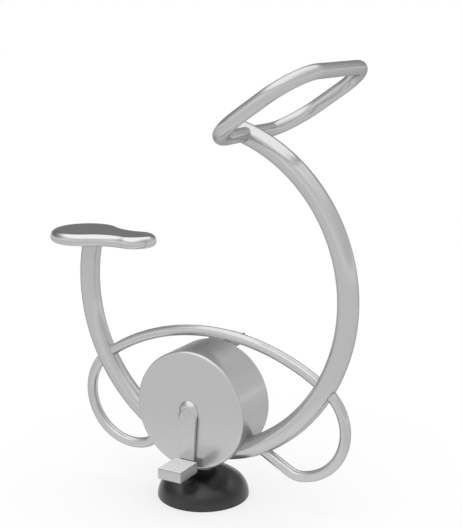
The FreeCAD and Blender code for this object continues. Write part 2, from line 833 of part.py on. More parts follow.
def make_brake_plate():
    outer = magnet_circle + magnet_radius + brake_plate_margin
    centre = Vector(0, brake_face, flywheel_height)
    start = standoff_angle - math.degrees((standoff_radius + brake_plate_margin) / standoff_circle)
    end = 180 - start
    middle = (start + end) / 2
    edges = [
        Part.Arc(polar(centre, outer, start), polar(centre, outer, middle),
                 polar(centre, outer, end)).toShape(),
        Part.makeLine(polar(centre, outer, end), polar(centre, brake_plate_inner_radius, end)),
        Part.Arc(polar(centre, brake_plate_inner_radius, end),
                 polar(centre, brake_plate_inner_radius, middle),
                 polar(centre, brake_plate_inner_radius, start)).toShape(),
        Part.makeLine(polar(centre, brake_plate_inner_radius, start), polar(centre, outer, start)),
    ]
    plate = Part.Face(Part.Wire(edges)).extrude(ALONG_Y * brake_plate_thickness)
    for place in brake_bolt_places():
        plate = plate.cut(disc_y(brake_bolt_radius, brake_face, brake_back, place.x, place.z))
    return plate


def make_brake_magnets():
    magnets = []
    for number in range(magnet_count):
        angle = 90 - magnet_spread_angle / 2 + magnet_spread_angle * number / (magnet_count - 1)
        place = polar(Vector(0, 0, flywheel_height), magnet_circle, angle)
        magnets.append(disc_y(magnet_radius, magnet_face, brake_face, place.x, place.z))
    return Part.makeCompound(magnets)


def make_brake_standoffs():
    standoffs = []
    for place in brake_bolt_places():
        standoff = ring_y(standoff_radius, brake_bolt_radius, brake_back, -hanger_outer, place.x, place.z)
        standoffs.append(standoff)
    return Part.makeCompound(standoffs)


def make_brake_bolts():
    bolts = []
    for place in brake_bolt_places():
        shank = disc_y(brake_bolt_radius, brake_face, -hanger_inner, place.x, place.z)
        head_face = brake_face - brake_bolt_head_height
        head = disc_y(brake_bolt_head_radius, head_face, brake_face, place.x, place.z)
        bolts.append(shank.fuse(head))
    return Part.makeCompound(bolts)


def make_right_crank():
    """Arm that tapers from its head to its toe along the lines that touch both rounds."""
    taper = (crank_head_radius - crank_toe_radius) / crank_length
    reach = math.sqrt(1 - taper ** 2)
    rounds = ((axle_height, crank_head_radius), (pedal_axis, crank_toe_radius))
    corners = [Vector(-radius * reach, crank_inner, level - radius * taper) for level, radius in rounds]
    corners += [Vector(-corner.x, corner.y, corner.z) for corner in corners[::-1]]
    outline = Part.makePolygon(corners + corners[:1])
    crank = Part.Face(outline).extrude(Vector(0, -crank_thickness, 0))
    for level, radius in rounds:
        crank = crank.fuse(disc_y(radius, crank_inner, crank_outer, 0, level))
    crank = crank.removeSplitter()
    rim = [edge for edge in crank.Edges if edge.BoundBox.YMax < crank_outer + level_tolerance]
    crank = crank.makeFillet(crank_edge_radius, rim)
    crank = crank.cut(square_end(crank_inner, crank_outer, crank_square_width))
    crank = crank.cut(disc_y(crank_recess_radius, recess_floor, crank_outer, 0, axle_height))
    return crank.cut(disc_y(spindle_thread_radius, crank_inner, crank_outer, 0, pedal_axis))


def make_right_crank_bolt():
    head = disc_y(crank_recess_radius, recess_floor, crank_outer + crank_cap_thickness, 0, axle_height)
    shank_end = recess_floor + crank_bolt_length
    return head.fuse(disc_y(crank_bolt_radius, shank_end, recess_floor, 0, axle_height))


def make_right_crank_cap():
    return disc_y(crank_recess_radius, crank_outer, crank_outer + crank_cap_thickness, 0, axle_height)


# Levels inside the right pedal, from its inner face outwards
keeper_floor = pedal_inner - keeper_thickness
collar_start = keeper_floor - collar_clearance
collar_end = collar_start - spindle_collar_thickness
bush_start = collar_end - collar_clearance
bush_end = bush_start - 2 * bush_length - bush_spacing
spindle_end = bush_end - spindle_end_gap
bore_end = spindle_end - spindle_end_gap
bush_radius = spindle_radius + running_clearance + bush_wall


def make_right_pedal_spindle():
    thread = disc_y(spindle_thread_radius, crank_inner, crank_outer, 0, pedal_axis)
    flange_end = crank_outer - spindle_flange_thickness
    flange = disc_y(spindle_flange_radius, crank_outer, flange_end, 0, pedal_axis)
    shaft = disc_y(spindle_radius, crank_outer, spindle_end, 0, pedal_axis)
    collar = disc_y(spindle_collar_radius, collar_start, collar_end, 0, pedal_axis)
    return thread.fuse([flange, shaft, collar])


def keeper_screw_places():
    return [(-keeper_screw_pitch / 2, pedal_axis), (keeper_screw_pitch / 2, pedal_axis)]


def keeper_screw(x, z):
    head_height = keeper_screw_head_radius - keeper_screw_radius
    head = cone_y(keeper_screw_head_radius, keeper_screw_radius, pedal_inner, pedal_inner - head_height, x, z)
    return head.fuse(disc_y(keeper_screw_radius, pedal_inner, pedal_inner - keeper_screw_length, x, z))


def keeper_block():
    corner = Vector(-keeper_length / 2, keeper_floor, pedal_axis - keeper_height / 2)
    return Part.makeBox(keeper_length, keeper_thickness, keeper_height, corner)


def make_right_pedal_body():
    corner = Vector(-pedal_depth / 2, pedal_outer, pedal_axis - pedal_height / 2)
    body = Part.makeBox(pedal_depth, pedal_length, pedal_height, corner)
    body = body.makeFillet(pedal_edge_radius, body.Edges)
    middle = (pedal_inner + pedal_outer) / 2
    for number in range(groove_count):
        y = middle + (number - (groove_count - 1) / 2) * groove_pitch
        for side in (-1, 1):
            top = pedal_axis + side * pedal_height / 2
            floor = top - side * groove_depth
            corners = [Vector(-pedal_depth, y - groove_width / 2, top), Vector(-pedal_depth, y, floor)]
            corners.append(Vector(-pedal_depth, y + groove_width / 2, top))
            groove = Part.Face(Part.makePolygon(corners + corners[:1])).extrude(ALONG_X * 2 * pedal_depth)
            body = body.cut(groove)
    body = body.cut(keeper_block())
    collar_room = spindle_collar_radius + collar_clearance
    body = body.cut(disc_y(collar_room, keeper_floor, bush_start, 0, pedal_axis))
    body = body.cut(disc_y(bush_radius, bush_start, bore_end, 0, pedal_axis))
    for x, z in keeper_screw_places():
        body = body.cut(keeper_screw(x, z))
    return body


def make_right_pedal_bushes():
    bore = spindle_radius + running_clearance
    inner = ring_y(bush_radius, bore, bush_start, bush_start - bush_length, 0, pedal_axis)
    outer = ring_y(bush_radius, bore, bush_end + bush_length, bush_end, 0, pedal_axis)
    return Part.makeCompound([inner, outer])


def make_right_pedal_keeper():
    hole = spindle_radius + keeper_clearance
    keeper = keeper_block().cut(disc_y(hole, pedal_inner, keeper_floor, 0, pedal_axis))
    for x, z in keeper_screw_places():
        keeper = keeper.cut(keeper_screw(x, z))
    return keeper


def make_right_pedal_screws():
    return Part.makeCompound([keeper_screw(x, z) for x, z in keeper_screw_places()])


def make_pieces():
    """All pieces by name."""
    axle_bearing = make_bearing(axle_radius, axle_bearing_radius, axle_bearing_width,
                                housing_end, axle_height)
    shaft_bearing = make_bearing(shaft_radius, flywheel_bearing_radius, flywheel_bearing_width,
                                 shaft_housing_end, flywheel_height)
    pieces = {
        "base_flange": make_base_flange(),
        "neck_tube": make_neck_tube(),
        "flange_gussets": make_flange_gussets(),
        "base_cover": make_base_cover(),
        "spine_tube": make_spine_tube(),
        "spine_cap": make_spine_cap(),
        "handlebar_tube": make_handlebar_tube(),
        "arch_tube": make_arch_tube(),
        "rear_loop_tube": make_rear_loop_tube(),
        "front_loop_tube": make_front_loop_tube(),
        "saddle_shell": make_saddle_shell(),
        "saddle_plate": make_saddle_plate(),
        "saddle_screws": make_saddle_screws(),
        "drum_shell": make_drum_shell(),
        "drum_cover": make_drum_cover(),
        "cover_ring": make_cover_ring(),
        "cover_screws": make_cover_screws(),
        "right_axle_seal": make_axle_seal(),
        "left_axle_seal": mirrored(make_axle_seal()),
        "right_hanger_plate": make_right_hanger_plate(),
        "left_hanger_plate": mirrored(make_hanger_plate()),
        "axle_housing": make_housing(axle_housing_radius, axle_bearing_radius, axle_bearing_width,
                                     housing_end, axle_height),
        "flywheel_housing": make_housing(shaft_housing_radius, flywheel_bearing_radius,
                                         flywheel_bearing_width, shaft_housing_end, flywheel_height),
        "right_axle_bearing": axle_bearing,
        "left_axle_bearing": mirrored(axle_bearing),
        "right_flywheel_bearing": shaft_bearing,
        "left_flywheel_bearing": mirrored(shaft_bearing),
        "brake_plate": make_brake_plate(),
        "brake_magnets": make_brake_magnets(),
        "brake_standoffs": make_brake_standoffs(),
        "brake_bolts": make_brake_bolts(),
        "drive_belt": make_drive_belt(),
        "crank_axle": make_crank_axle(),
        "drive_pulley": make_drive_pulley(),
        "pulley_screws": make_pulley_screws(),
        "flywheel": make_flywheel(),
        "flywheel_shaft": make_flywheel_shaft(),
        "flywheel_nuts": make_flywheel_nuts(),
        "driven_pulley": make_driven_pulley(),
    }
    sided = {
        "crank": make_right_crank(),
        "crank_bolt": make_right_crank_bolt(),
        "crank_cap": make_right_crank_cap(),
        "pedal_spindle": make_right_pedal_spindle(),
        "pedal_body": make_right_pedal_body(),
        "pedal_bushes": make_right_pedal_bushes(),
        "pedal_keeper": make_right_pedal_keeper(),
        "pedal_screws": make_right_pedal_screws(),
    }
    for name, shape in sided.items():
        pieces["right_" + name] = shape
        pieces["left_" + name] = opposite(shape)
    return pieces


def main():
    os.makedirs("parts", exist_ok=True)
    for name, shape in make_pieces().items():
        shape.exportStep(os.path.join("parts", name + ".step"))
        print(name, len(shape.Solids), round(shape.Volume), shape.isValid())


main()
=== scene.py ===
import json
import math

import bmesh
import bpy
from mathutils import Matrix, Vector


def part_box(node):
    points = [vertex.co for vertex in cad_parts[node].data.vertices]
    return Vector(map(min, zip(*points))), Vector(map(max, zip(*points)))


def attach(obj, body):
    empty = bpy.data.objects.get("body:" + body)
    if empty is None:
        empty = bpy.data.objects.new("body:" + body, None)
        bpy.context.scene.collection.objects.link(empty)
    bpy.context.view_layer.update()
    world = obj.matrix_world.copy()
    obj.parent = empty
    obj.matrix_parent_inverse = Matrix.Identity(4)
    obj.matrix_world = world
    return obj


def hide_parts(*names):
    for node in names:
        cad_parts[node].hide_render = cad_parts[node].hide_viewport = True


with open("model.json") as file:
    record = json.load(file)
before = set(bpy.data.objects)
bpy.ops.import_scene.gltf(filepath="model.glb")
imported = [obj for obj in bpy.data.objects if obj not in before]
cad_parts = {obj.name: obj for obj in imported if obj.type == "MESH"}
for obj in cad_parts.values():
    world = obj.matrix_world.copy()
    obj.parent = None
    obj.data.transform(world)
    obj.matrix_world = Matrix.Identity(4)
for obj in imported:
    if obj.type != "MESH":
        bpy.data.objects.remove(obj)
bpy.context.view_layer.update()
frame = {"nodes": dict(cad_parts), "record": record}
SLOTS = {row["node"]: row["material_slot"] for row in frame["record"]["subparts"]}

bl_info = {
    "name": "Outdoor exercise bike",
    "version": (1, 0, 0),
    "blender": (4, 5, 0),
    "location": "3D View > Sidebar > Bike",
    "description": "Makes the tubes, welds, saddle, drum, cranks, pedals and finishes of the bike",
    "category": "Add Mesh",
}

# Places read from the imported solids
DRUM_LOW, DRUM_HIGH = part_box("drum_shell")
COVER_LOW, COVER_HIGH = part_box("drum_cover")
SADDLE_LOW, SADDLE_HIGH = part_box("saddle_shell")
PLATE_LOW, PLATE_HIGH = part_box("saddle_plate")
DOME_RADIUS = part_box("base_cover")[1].x
NECK_LOW, NECK_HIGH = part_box("neck_tube")
CRANK_LOW, CRANK_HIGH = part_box("right_crank")
PEDAL_LOW, PEDAL_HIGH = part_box("right_pedal_body")
KEEPER_LOW, KEEPER_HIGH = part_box("right_pedal_keeper")
AXLE_HEIGHT = (COVER_LOW.z + COVER_HIGH.z) / 2
DRUM_RADIUS = (COVER_HIGH.x - COVER_LOW.x) / 2
PEDAL_HEIGHT = (PEDAL_LOW.z + PEDAL_HIGH.z) / 2
HALF_TURN = math.pi
QUARTER_TURN = math.pi / 2
FULL_TURN = 2 * math.pi

# Distances between the points of a line
LINE_STEP = 0.005
FINE_STEP = 0.002

# Sides of round pieces
SPINE_SIDES = 72
BAR_SIDES = 56
LOOP_SIDES = 48
DRUM_SIDES = 192
DOME_SIDES = 128

# Where the room's light changes, as parts of a direction of length one
SIDE_FADE = (-0.5, 0.4)
FAR_WALL_FADE = (0.45, 0.95)
CORNER_FADE = (-0.05, 0.85)
CORNER_TOP = (0.52, 0.66)
GLOW_FADE = (0.6, 0.95)
GLOW_TOP = (0.2, 0.4)
CEILING_EDGE = (0.58, 0.68)
LAMP_EDGE = (0.22, 0.58)
BACKDROP_TOP = (0.08, 0.11)
CORNER_ASIDE = 0.6
CORNER_BACK = 0.8
GLOW_SHARE = -0.7
CEILING_SLOPE = 0.4
CEILING_BEND = 0.5

# Numbers of the sockets that share a name on the Mix node and the Random Value node
MIX_LOW = 6
MIX_HIGH = 7
MIX_COLOUR = 2
RANDOM_LOW = 2
RANDOM_HIGH = 3
RANDOM_NUMBER = 1


def length(name, description, default):
    return bpy.props.FloatProperty(name=name, description=description, default=default, min=0.0,
                                   precision=4, subtype="DISTANCE", unit="LENGTH")


def turn(name, description, degrees):
    return bpy.props.FloatProperty(name=name, description=description, default=math.radians(degrees),
                                   subtype="ANGLE", unit="ROTATION")


def share(name, description, default, most=1.0):
    return bpy.props.FloatProperty(name=name, description=description, default=default, min=0.0, max=most,
                                   subtype="FACTOR")


def whole(name, description, default, least):
    return bpy.props.IntProperty(name=name, description=description, default=default, min=least)


def spot(name, description, default):
    return bpy.props.FloatVectorProperty(name=name, description=description, default=default, size=3,
                                         subtype="XYZ", unit="LENGTH")


def colour(name, description, default):
    return bpy.props.FloatVectorProperty(name=name, description=description, default=default, size=3,
                                         min=0.0, max=1.0, subtype="COLOR")


class TubeSizes(bpy.types.PropertyGroup):
    """Tubes of the frame and the lines that they follow"""
    spine_radius: length("Spine radius", "Outer radius of the curved main tube", 0.0317)
    spine_low_offset: length("Spine low point", "How far in front of the axle the spine is lowest", 0.0204)
    spine_drop: length("Spine drop", "How far the spine's lowest point hangs under the axle", 0.1409)
    spine_bottom_bend: length("Bottom bend", "Bend radius of the spine under the drum", 0.3953)
    spine_rear_bend: length("Rear bend", "Bend radius of the spine up to the saddle", 0.521)
    spine_fore_bend: length("Fore bend", "Bend radius of the spine in front of the drum", 0.543)
    spine_front_bend: length("Front bend", "Bend radius of the spine up to the handlebar", 0.509)
    spine_rear_joint: turn("Rear joint", "Where the bottom bend meets the rear bend", 37)
    spine_fore_joint: turn("Fore joint", "Where the bottom bend meets the fore bend", 31.5)
    spine_front_joint: turn("Front joint", "Where the fore bend meets the front bend", 77.2)
    spine_overrun: length("Spine overrun", "Length of spine above the handlebar's crosspiece", 0.040)
    cap_rise: length("Cap rise", "Height of the dome that closes the spine", 0.007)
    bar_radius: length("Bar radius", "Outer radius of the handlebar tube", 0.02115)
    bar_place: turn("Bar place", "Where on the front bend the handlebar crosses", 68.9)
    bar_offset: length("Bar offset", "How far outside the spine's centre line the handlebar crosses", 0.003)
    bar_slope: turn("Bar slope", "How steeply the handlebar loop rises forwards", 34.5)
    bar_length: length("Bar length", "Length of the handlebar loop up its slope", 0.336)
    bar_width: length("Bar width", "Width of the handlebar loop at its centre line", 0.501)
    bar_corner: length("Bar corner", "Bend radius of the handlebar's corners", 0.124)
    loop_radius: length("Thin tube radius", "Outer radius of the arch and of the two end loops", 0.01670)
    arch_offset: length("Arch middle", "How far in front of the axle the arch is highest", 0.0344)
    arch_rise: length("Arch rise", "Height of the arch's centre line over the drum", 0.0479)
    arch_bend: length("Arch bend", "Bend radius of the arch over the drum", 0.6735)
    rear_loop_bend: length("Rear loop bend", "Bend radius of the loop at the arch's rear end", 0.159)
    front_loop_bend: length("Front loop bend", "Bend radius of the loop at the arch's front end", 0.1585)
    rear_tail_bend: length("Rear tail bend", "Bend radius where the rear loop turns to the spine", 0.060)
    front_tail_bend: length("Front tail bend", "Bend radius where the front loop turns to the spine", 0.070)
    rear_tail_start: turn("Rear tail start", "Where on the rear loop its tail begins", 290)
    rear_tail_end: turn("Rear tail end", "Where the rear tail runs straight", 330)
    front_tail_start: turn("Front tail start", "Where on the front loop its tail begins", -83)
    front_tail_end: turn("Front tail end", "Where the front tail runs straight", -119)
    weld_radius: length("Weld radius", "Size of the weld beads", 0.0014)
    weld_ripple: length("Weld ripple", "Distance between the ripples of a weld bead", 0.0036)


class SaddleSizes(bpy.types.PropertyGroup):
    """Saddle shell"""
    rear_radius: length("Rear lobe", "Plan radius of the wide rear", 0.114)
    nose_radius: length("Nose", "Plan radius of the nose", 0.066)
    waist_radius: length("Waist", "Plan radius of the drawn-in waist", 0.150)
    lobe_spacing: length("Lobe spacing", "Distance from the rear lobe's centre to the nose's", 0.193)
    top_round: length("Top round", "Edge radius round the top", 0.020)
    bottom_round: length("Bottom round", "Edge radius round the underside", 0.014)
    rim: length("Rim", "Width of the rim round the hollow underside", 0.018)
    crown: length("Crown", "Thickness of the shell over the hollow", 0.016)
    boss_radius: length("Boss radius", "Radius of the screw bosses", 0.009)
    boss_pitch: length("Boss pitch", "Distance between the screw bosses", 0.076)


class DriveSizes(bpy.types.PropertyGroup):
    """Drum, cranks, pedals and base"""
    drum_wall: length("Drum wall", "Sheet thickness of the drum", 0.003)
    drum_round: length("Drum edge", "Edge radius of the drum's near side", 0.008)
    cover_round: length("Cover edge", "Edge radius of the drum's screwed cover", 0.0025)
    seam: length("Seam", "Chamfer each side of the line between drum and cover", 0.0006)
    seal_radius: length("Seal radius", "Radius of the hole for the axle seal", 0.020)
    screw_count: whole("Cover screws", "Screws in the cover", 8, 3)
    screw_circle: length("Screw circle", "Radius of the circle of cover screws", 0.1753)
    screw_radius: length("Screw head", "Radius of a cover screw's head", 0.005)
    crank_reach: length("Crank length", "Distance from the axle to the pedal spindle", 0.170)
    crank_round: length("Crank edge", "Edge radius of a crank's outer face", 0.003)
    head_slope: length("Crank head slope", "Width of the domed slope round a crank's head", 0.0204)
    head_drop: length("Crank head drop", "How much nearer to the drum the head reaches than the arm", 0.002)
    head_run: length("Crank head run", "Length over which the head's slope runs out", 0.026)
    hub_radius: length("Hub radius", "Radius of the axle's seat in a crank", 0.0128)
    cap_radius: length("Crank cap", "Radius of the cap over the crank bolt", 0.012)
    cap_groove: length("Cap groove", "Width of the line round the crank cap", 0.0003)
    pedal_round: length("Pedal edge", "Edge radius of a pedal", 0.0035)
    groove_count: whole("Grooves", "Grooves in a tread", 5, 0)
    groove_pitch: length("Groove pitch", "Distance between the grooves of a tread", 0.016)
    groove_width: length("Groove width", "Width of a groove in a tread", 0.002)
    groove_depth: length("Groove depth", "Depth of a groove in a tread", 0.0008)
    neck_radius: length("Neck radius", "Radius of the neck between base and drum", 0.03805)
    dome_height: length("Dome height", "Height at which the dome would close over the neck", 0.098)
    dome_lip: length("Dome lip", "Height of the upright edge of the dome", 0.002)
    dome_shoulder: length("Dome shoulder", "Radius of the dome's shoulder", 0.072)
    dome_wall: length("Dome wall", "Thickness of the dome", 0.005)


class FinishColours(bpy.types.PropertyGroup):
    """Colours of the finishes"""
    tube_silver: colour("Tube silver", "Coat of the tubes", (0.586, 0.588, 0.592))
    drum_silver: colour("Drum silver", "Coat of the drum", (0.586, 0.588, 0.591))
    saddle_silver: colour("Saddle silver", "Coat of the saddle", (0.598, 0.600, 0.603))
    pedal_silver: colour("Pedal silver", "Painted casting of the pedals", (0.640, 0.640, 0.638))
    dome_black: colour("Dome black", "Rubber of the dome", (0.005, 0.005, 0.0053))
    flake: share("Flake share", "Share of the silver coat that mirrors light; the rest scatters it", 0.8)
    edge_tint: share("Edge tint", "Tint of what the silver coats mirror at a glancing angle", 0.5)


class StageSettings(bpy.types.PropertyGroup):
    """Floor, light and camera"""
    floor: colour("Floor", "Colour of the floor", (0.33, 0.33, 0.33))
    floor_glow: share("Floor glow", "White added to the floor where it is seen", 0.66)
    floor_far: share("Far floor", "Share of the floor's glow that is mirrored from far off", 0.68)
    floor_bounce: colour("Floor bounce", "Colour of the floor as it lights the bike", (0.78, 0.78, 0.78))
    overhead: share("Overhead", "Brightness of the soft light above", 1.45, 4.0)
    beside: share("Beside", "Brightness of the ceiling past the soft light", 0.95, 4.0)
    far_wall: share("Far wall", "Share of the room's brightness left in front", 0.85)
    dim_corner: share("Dim corner", "Share of the room's brightness left behind the saddle", 0.34)
    low_glow: share("Low glow", "Brightness added low on the camera's side of the saddle", 0.3)
    behind: share("Behind", "Brightness of the room behind the bike", 0.77, 2.0)
    front: share("Front", "Brightness of the room on the camera's side", 0.82, 2.0)
    floor_size: length("Floor size", "Length of the floor's sides", 60.0)
    camera: spot("Camera", "Place of the camera", (1.7262, -2.8456, 1.4880))
    target: spot("Target", "Point that the camera faces", (0.1011, 0.0, 0.7585))
    lens: bpy.props.FloatProperty(name="Lens", description="Focal length", default=76.36, unit="CAMERA")


class Value:
    """One output of a node sheet; arithmetic on it adds Math nodes to the sheet."""

    def __init__(self, sheet, socket):
        self.sheet = sheet
        self.socket = socket

    def work(self, operation, *values):
        return self.sheet.node("ShaderNodeMath", {"operation": operation}, dict(enumerate(values)))

    def __add__(self, other):
        return self.work("ADD", self, other)

    def __radd__(self, other):
        return self.work("ADD", other, self)

    def __sub__(self, other):
        return self.work("SUBTRACT", self, other)

    def __rsub__(self, other):
        return self.work("SUBTRACT", other, self)

    def __mul__(self, other):
        return self.work("MULTIPLY", self, other)

    def __rmul__(self, other):
        return self.work("MULTIPLY", other, self)

    def __truediv__(self, other):
        return self.work("DIVIDE", self, other)

    def __abs__(self):
        return self.work("ABSOLUTE", self)

    def sine(self):
        return self.work("SINE", self)

    def root(self):
        return self.work("SQRT", self)


class Sheet:
    """A node tree, to which every node is added by one method."""

    def __init__(self, tree):
        self.tree = tree

    def add(self, kind, settings=None, sockets=None):
        made = self.tree.nodes.new(kind)
        for name, setting in (settings or {}).items():
            setattr(made, name, setting)
        self.feed(made.inputs, sockets or {})
        return made

    def node(self, kind, settings=None, sockets=None, output=0):
        """One output of a new node."""
        return Value(self, self.add(kind, settings, sockets).outputs[output])

    def feed(self, inputs, sockets):
        """Links or sets a node's inputs."""
        for key, value in sockets.items():
            if isinstance(value, Value):
                self.tree.links.new(value.socket, inputs[key])
            else:
                inputs[key].default_value = value

    def noise(self, place, scale, detail=2.0):
        sockets = {"Vector": place, "Scale": scale, "Detail": detail}
        return self.node("ShaderNodeTexNoise", {}, sockets, "Fac")

    def span(self, value, low, high, bottom=0.0, top=1.0):
        """A value brought from one range to another, with soft ends."""
        sockets = {"Value": value, "From Min": low, "From Max": high, "To Min": bottom, "To Max": top}
        return self.node("ShaderNodeMapRange", {"interpolation_type": "SMOOTHSTEP"}, sockets)

    def light_path(self, ray):
        return self.node("ShaderNodeLightPath", {}, {}, ray)

    def mirrored(self):
        """One for a ray that comes from a mirroring or a clear surface."""
        return self.light_path("Is Glossy Ray") + self.light_path("Is Transmission Ray")

    def part(self, vector, axis):
        return self.node("ShaderNodeSeparateXYZ", {}, {"Vector": vector}, axis)

    def blend(self, factor, low, high):
        """A colour between two colours."""
        sockets = {0: factor}
        for key, tint in ((MIX_LOW, low), (MIX_HIGH, high)):
            sockets[key] = tint if isinstance(tint, Value) else (*tint, 1.0)
        return self.node("ShaderNodeMix", {"data_type": "RGBA"}, sockets, MIX_COLOUR)

    def shade(self, tint, tone):
        """A colour made lighter or darker by a value."""
        return self.node("ShaderNodeVectorMath", {"operation": "SCALE"}, {0: tint, "Scale": tone})


class Finish(Sheet):
    """A material on one Principled shader."""

    def __init__(self, name):
        self.material = bpy.data.materials.new(name)
        self.material.use_nodes = True
        super().__init__(self.material.node_tree)
        self.shader = next(node for node in self.tree.nodes if node.type == "BSDF_PRINCIPLED")
        self.place = self.node("ShaderNodeTexCoord", {}, {}, "Object")

    def paint(self, sockets):
        self.feed(self.shader.inputs, sockets)

    def spots(self, scale, detail=2.0):
        return self.noise(self.place, scale, detail)

    def relief(self, height, distance):
        """Fine relief on the surface, with its depth in metres."""
        normal = self.node("ShaderNodeBump", {}, {"Strength": 1.0, "Distance": distance, "Height": height})
        self.paint({"Normal": normal})

    def streaks(self, scales, detail=2.0):
        """Noise drawn out along the piece's axes."""
        place = self.node("ShaderNodeMapping", {}, {"Vector": self.place, "Scale": scales})
        return self.noise(place, 1.0, detail)

    def coat(self, mask, low, high, metallic, roughness, marks, depth):
        """A coat between two tints, with fine marks in relief."""
        tint = self.blend(mask, low, high)
        self.paint({"Base Color": tint, "Metallic": metallic, "Roughness": roughness})
        self.relief(marks, depth)
        return self


class Recipe(Sheet):
    """A geometry node tree with named inputs, ended by its finish."""

    def __init__(self, name):
        super().__init__(bpy.data.node_groups.new(name, "GeometryNodeTree"))
        self.tree.interface.new_socket("Geometry", in_out="OUTPUT", socket_type="NodeSocketGeometry")
        self.entry = self.add("NodeGroupInput")

    def take(self, **kinds):
        """The tree's inputs, named in words from the keys."""
        values = []
        for key, kind in kinds.items():
            name = key.replace("_", " ").capitalize()
            self.tree.interface.new_socket(name, in_out="INPUT", socket_type="NodeSocket" + kind)
            values.append(Value(self, self.entry.outputs[name]))
        return values

    def close(self, geometry, finish):
        whole = self.node("GeometryNodeRealizeInstances", {}, {"Geometry": geometry})
        done = self.node("GeometryNodeSetMaterial", {}, {"Geometry": whole, "Material": finish})
        self.add("NodeGroupOutput", {}, {0: done})

    def run(self, name, mesh, inputs):
        """Runs the tree on a mesh and gives the result as a plain mesh."""
        holder = bpy.data.objects.new(name, mesh)
        bpy.context.scene.collection.objects.link(holder)
        modifier = holder.modifiers.new("Recipe", "NODES")
        modifier.node_group = self.tree
        for item in self.tree.interface.items_tree:
            if item.in_out == "INPUT" and item.name in inputs:
                modifier[item.identifier] = inputs[item.name]
        bpy.context.view_layer.update()
        graph = bpy.context.evaluated_depsgraph_get()
        result = bpy.data.meshes.new_from_object(holder.evaluated_get(graph))
        holder.modifiers.remove(modifier)
        bpy.data.objects.remove(holder)
        if not result.polygons:
            raise RuntimeError("the recipe for " + name + " gave no faces")
        return result


def sweep(recipe, path, radius, sides, options):
    """A round skin along a path, shaded smooth."""
    ring = recipe.node("GeometryNodeCurvePrimitiveCircle", {"mode": "RADIUS"},
                       {"Resolution": sides, "Radius": radius})
    skin = recipe.node("GeometryNodeCurveToMesh", {}, {"Curve": path, "Profile Curve": ring, **options})
    return recipe.node("GeometryNodeSetShadeSmooth", {}, {"Geometry": skin})


def tube_recipe():
    """A round tube along a path."""
    recipe = Recipe("Tube along a path")
    path, radius, sides, finish = recipe.take(
        path="Geometry", radius="Float", sides="Int", finish="Material")
    curve = recipe.node("GeometryNodeMeshToCurve", {}, {"Mesh": path})
    recipe.close(sweep(recipe, curve, radius, sides, {"Fill Caps": True}), finish)
    return recipe


def weld_recipe():
    """A weld bead along a closed path, thicker and thinner as the ripples of the weld pool."""
    sides = 8
    steps_in_ripple = 6
    recipe = Recipe("Weld bead along a path")
    path, radius, ripple, depth, finish = recipe.take(
        path="Geometry", radius="Float", ripple_length="Float", ripple_depth="Float", finish="Material")
    curve = recipe.node("GeometryNodeMeshToCurve", {}, {"Mesh": path})
    curve = recipe.node("GeometryNodeResampleCurve", {"mode": "LENGTH"},
                        {"Curve": curve, "Length": ripple / steps_in_ripple})
    along = recipe.node("GeometryNodeSplineParameter", {}, {}, "Length")
    size = 1.0 + (along * FULL_TURN / ripple).sine() * depth
    recipe.close(sweep(recipe, curve, radius, sides, {"Scale": size}), finish)
    return recipe


def ring_recipe():
    """Screw heads on a circle that faces along Y, each turned by chance about its own axis."""
    recipe = Recipe("Screw heads on a circle")
    head, count, circle, start, side, height, seed, finish = recipe.take(
        head="Geometry", count="Int", circle_radius="Float", start="Float", side="Float", height="Float",
        seed="Int", finish="Material")
    places = recipe.node("GeometryNodeMeshCircle", {}, {"Vertices": count, "Radius": circle})
    twist = recipe.node("FunctionNodeRandomValue", {"data_type": "FLOAT"},
                        {RANDOM_LOW: 0.0, RANDOM_HIGH: HALF_TURN, "Seed": seed}, RANDOM_NUMBER)
    spin = recipe.node("ShaderNodeCombineXYZ", {}, {"Z": twist})
    heads = recipe.node("GeometryNodeInstanceOnPoints", {},
                        {"Points": places, "Instance": head, "Rotation": spin})
    first = recipe.node("ShaderNodeCombineXYZ", {}, {"Z": start})
    heads = recipe.node("GeometryNodeTransform", {}, {"Geometry": heads, "Rotation": first})
    shift = recipe.node("ShaderNodeCombineXYZ", {}, {"Y": side, "Z": height})
    heads = recipe.node("GeometryNodeTransform", {},
                        {"Geometry": heads, "Translation": shift, "Rotation": (-QUARTER_TURN, 0.0, 0.0)})
    recipe.close(heads, finish)
    return recipe


# Lines in the bike's middle plane

def on_circle(circle, angle):
    centre, radius = circle
    return Vector((centre.x + radius * math.cos(angle), 0.0, centre.z + radius * math.sin(angle)))


def angle_on(circle, point):
    return math.atan2(point.z - circle[0].z, point.x - circle[0].x)


def touching(circle, angle, bend):
    """A circle of another bend that touches a circle from inside at an angle."""
    centre, radius = circle
    return on_circle((centre, radius - bend), angle), bend


def arc_line(circle, start, end, step=LINE_STEP):
    count = max(2, math.ceil(abs((end - start) * circle[1]) / step))
    return [on_circle(circle, start + (end - start) * number / count) for number in range(count + 1)]


def straight_line(start, end, step):
    count = max(1, math.ceil((end - start).length / step))
    return [start.lerp(end, number / count) for number in range(count + 1)]


def chain(*runs):
    points = list(runs[0])
    for run in runs[1:]:
        points += run[1:]
    return points


def crossings(first, second):
    """The two points where two circles cross, rear one first."""
    apart = second[0] - first[0]
    along = (first[1] ** 2 - second[1] ** 2 + apart.length_squared) / (2 * apart.length)
    aside = math.sqrt(first[1] ** 2 - along ** 2)
    way = apart.normalized()
    foot = first[0] + way * along
    side = Vector((way.z, 0.0, -way.x)) * aside
    return sorted([foot + side, foot - side], key=lambda point: point.x)


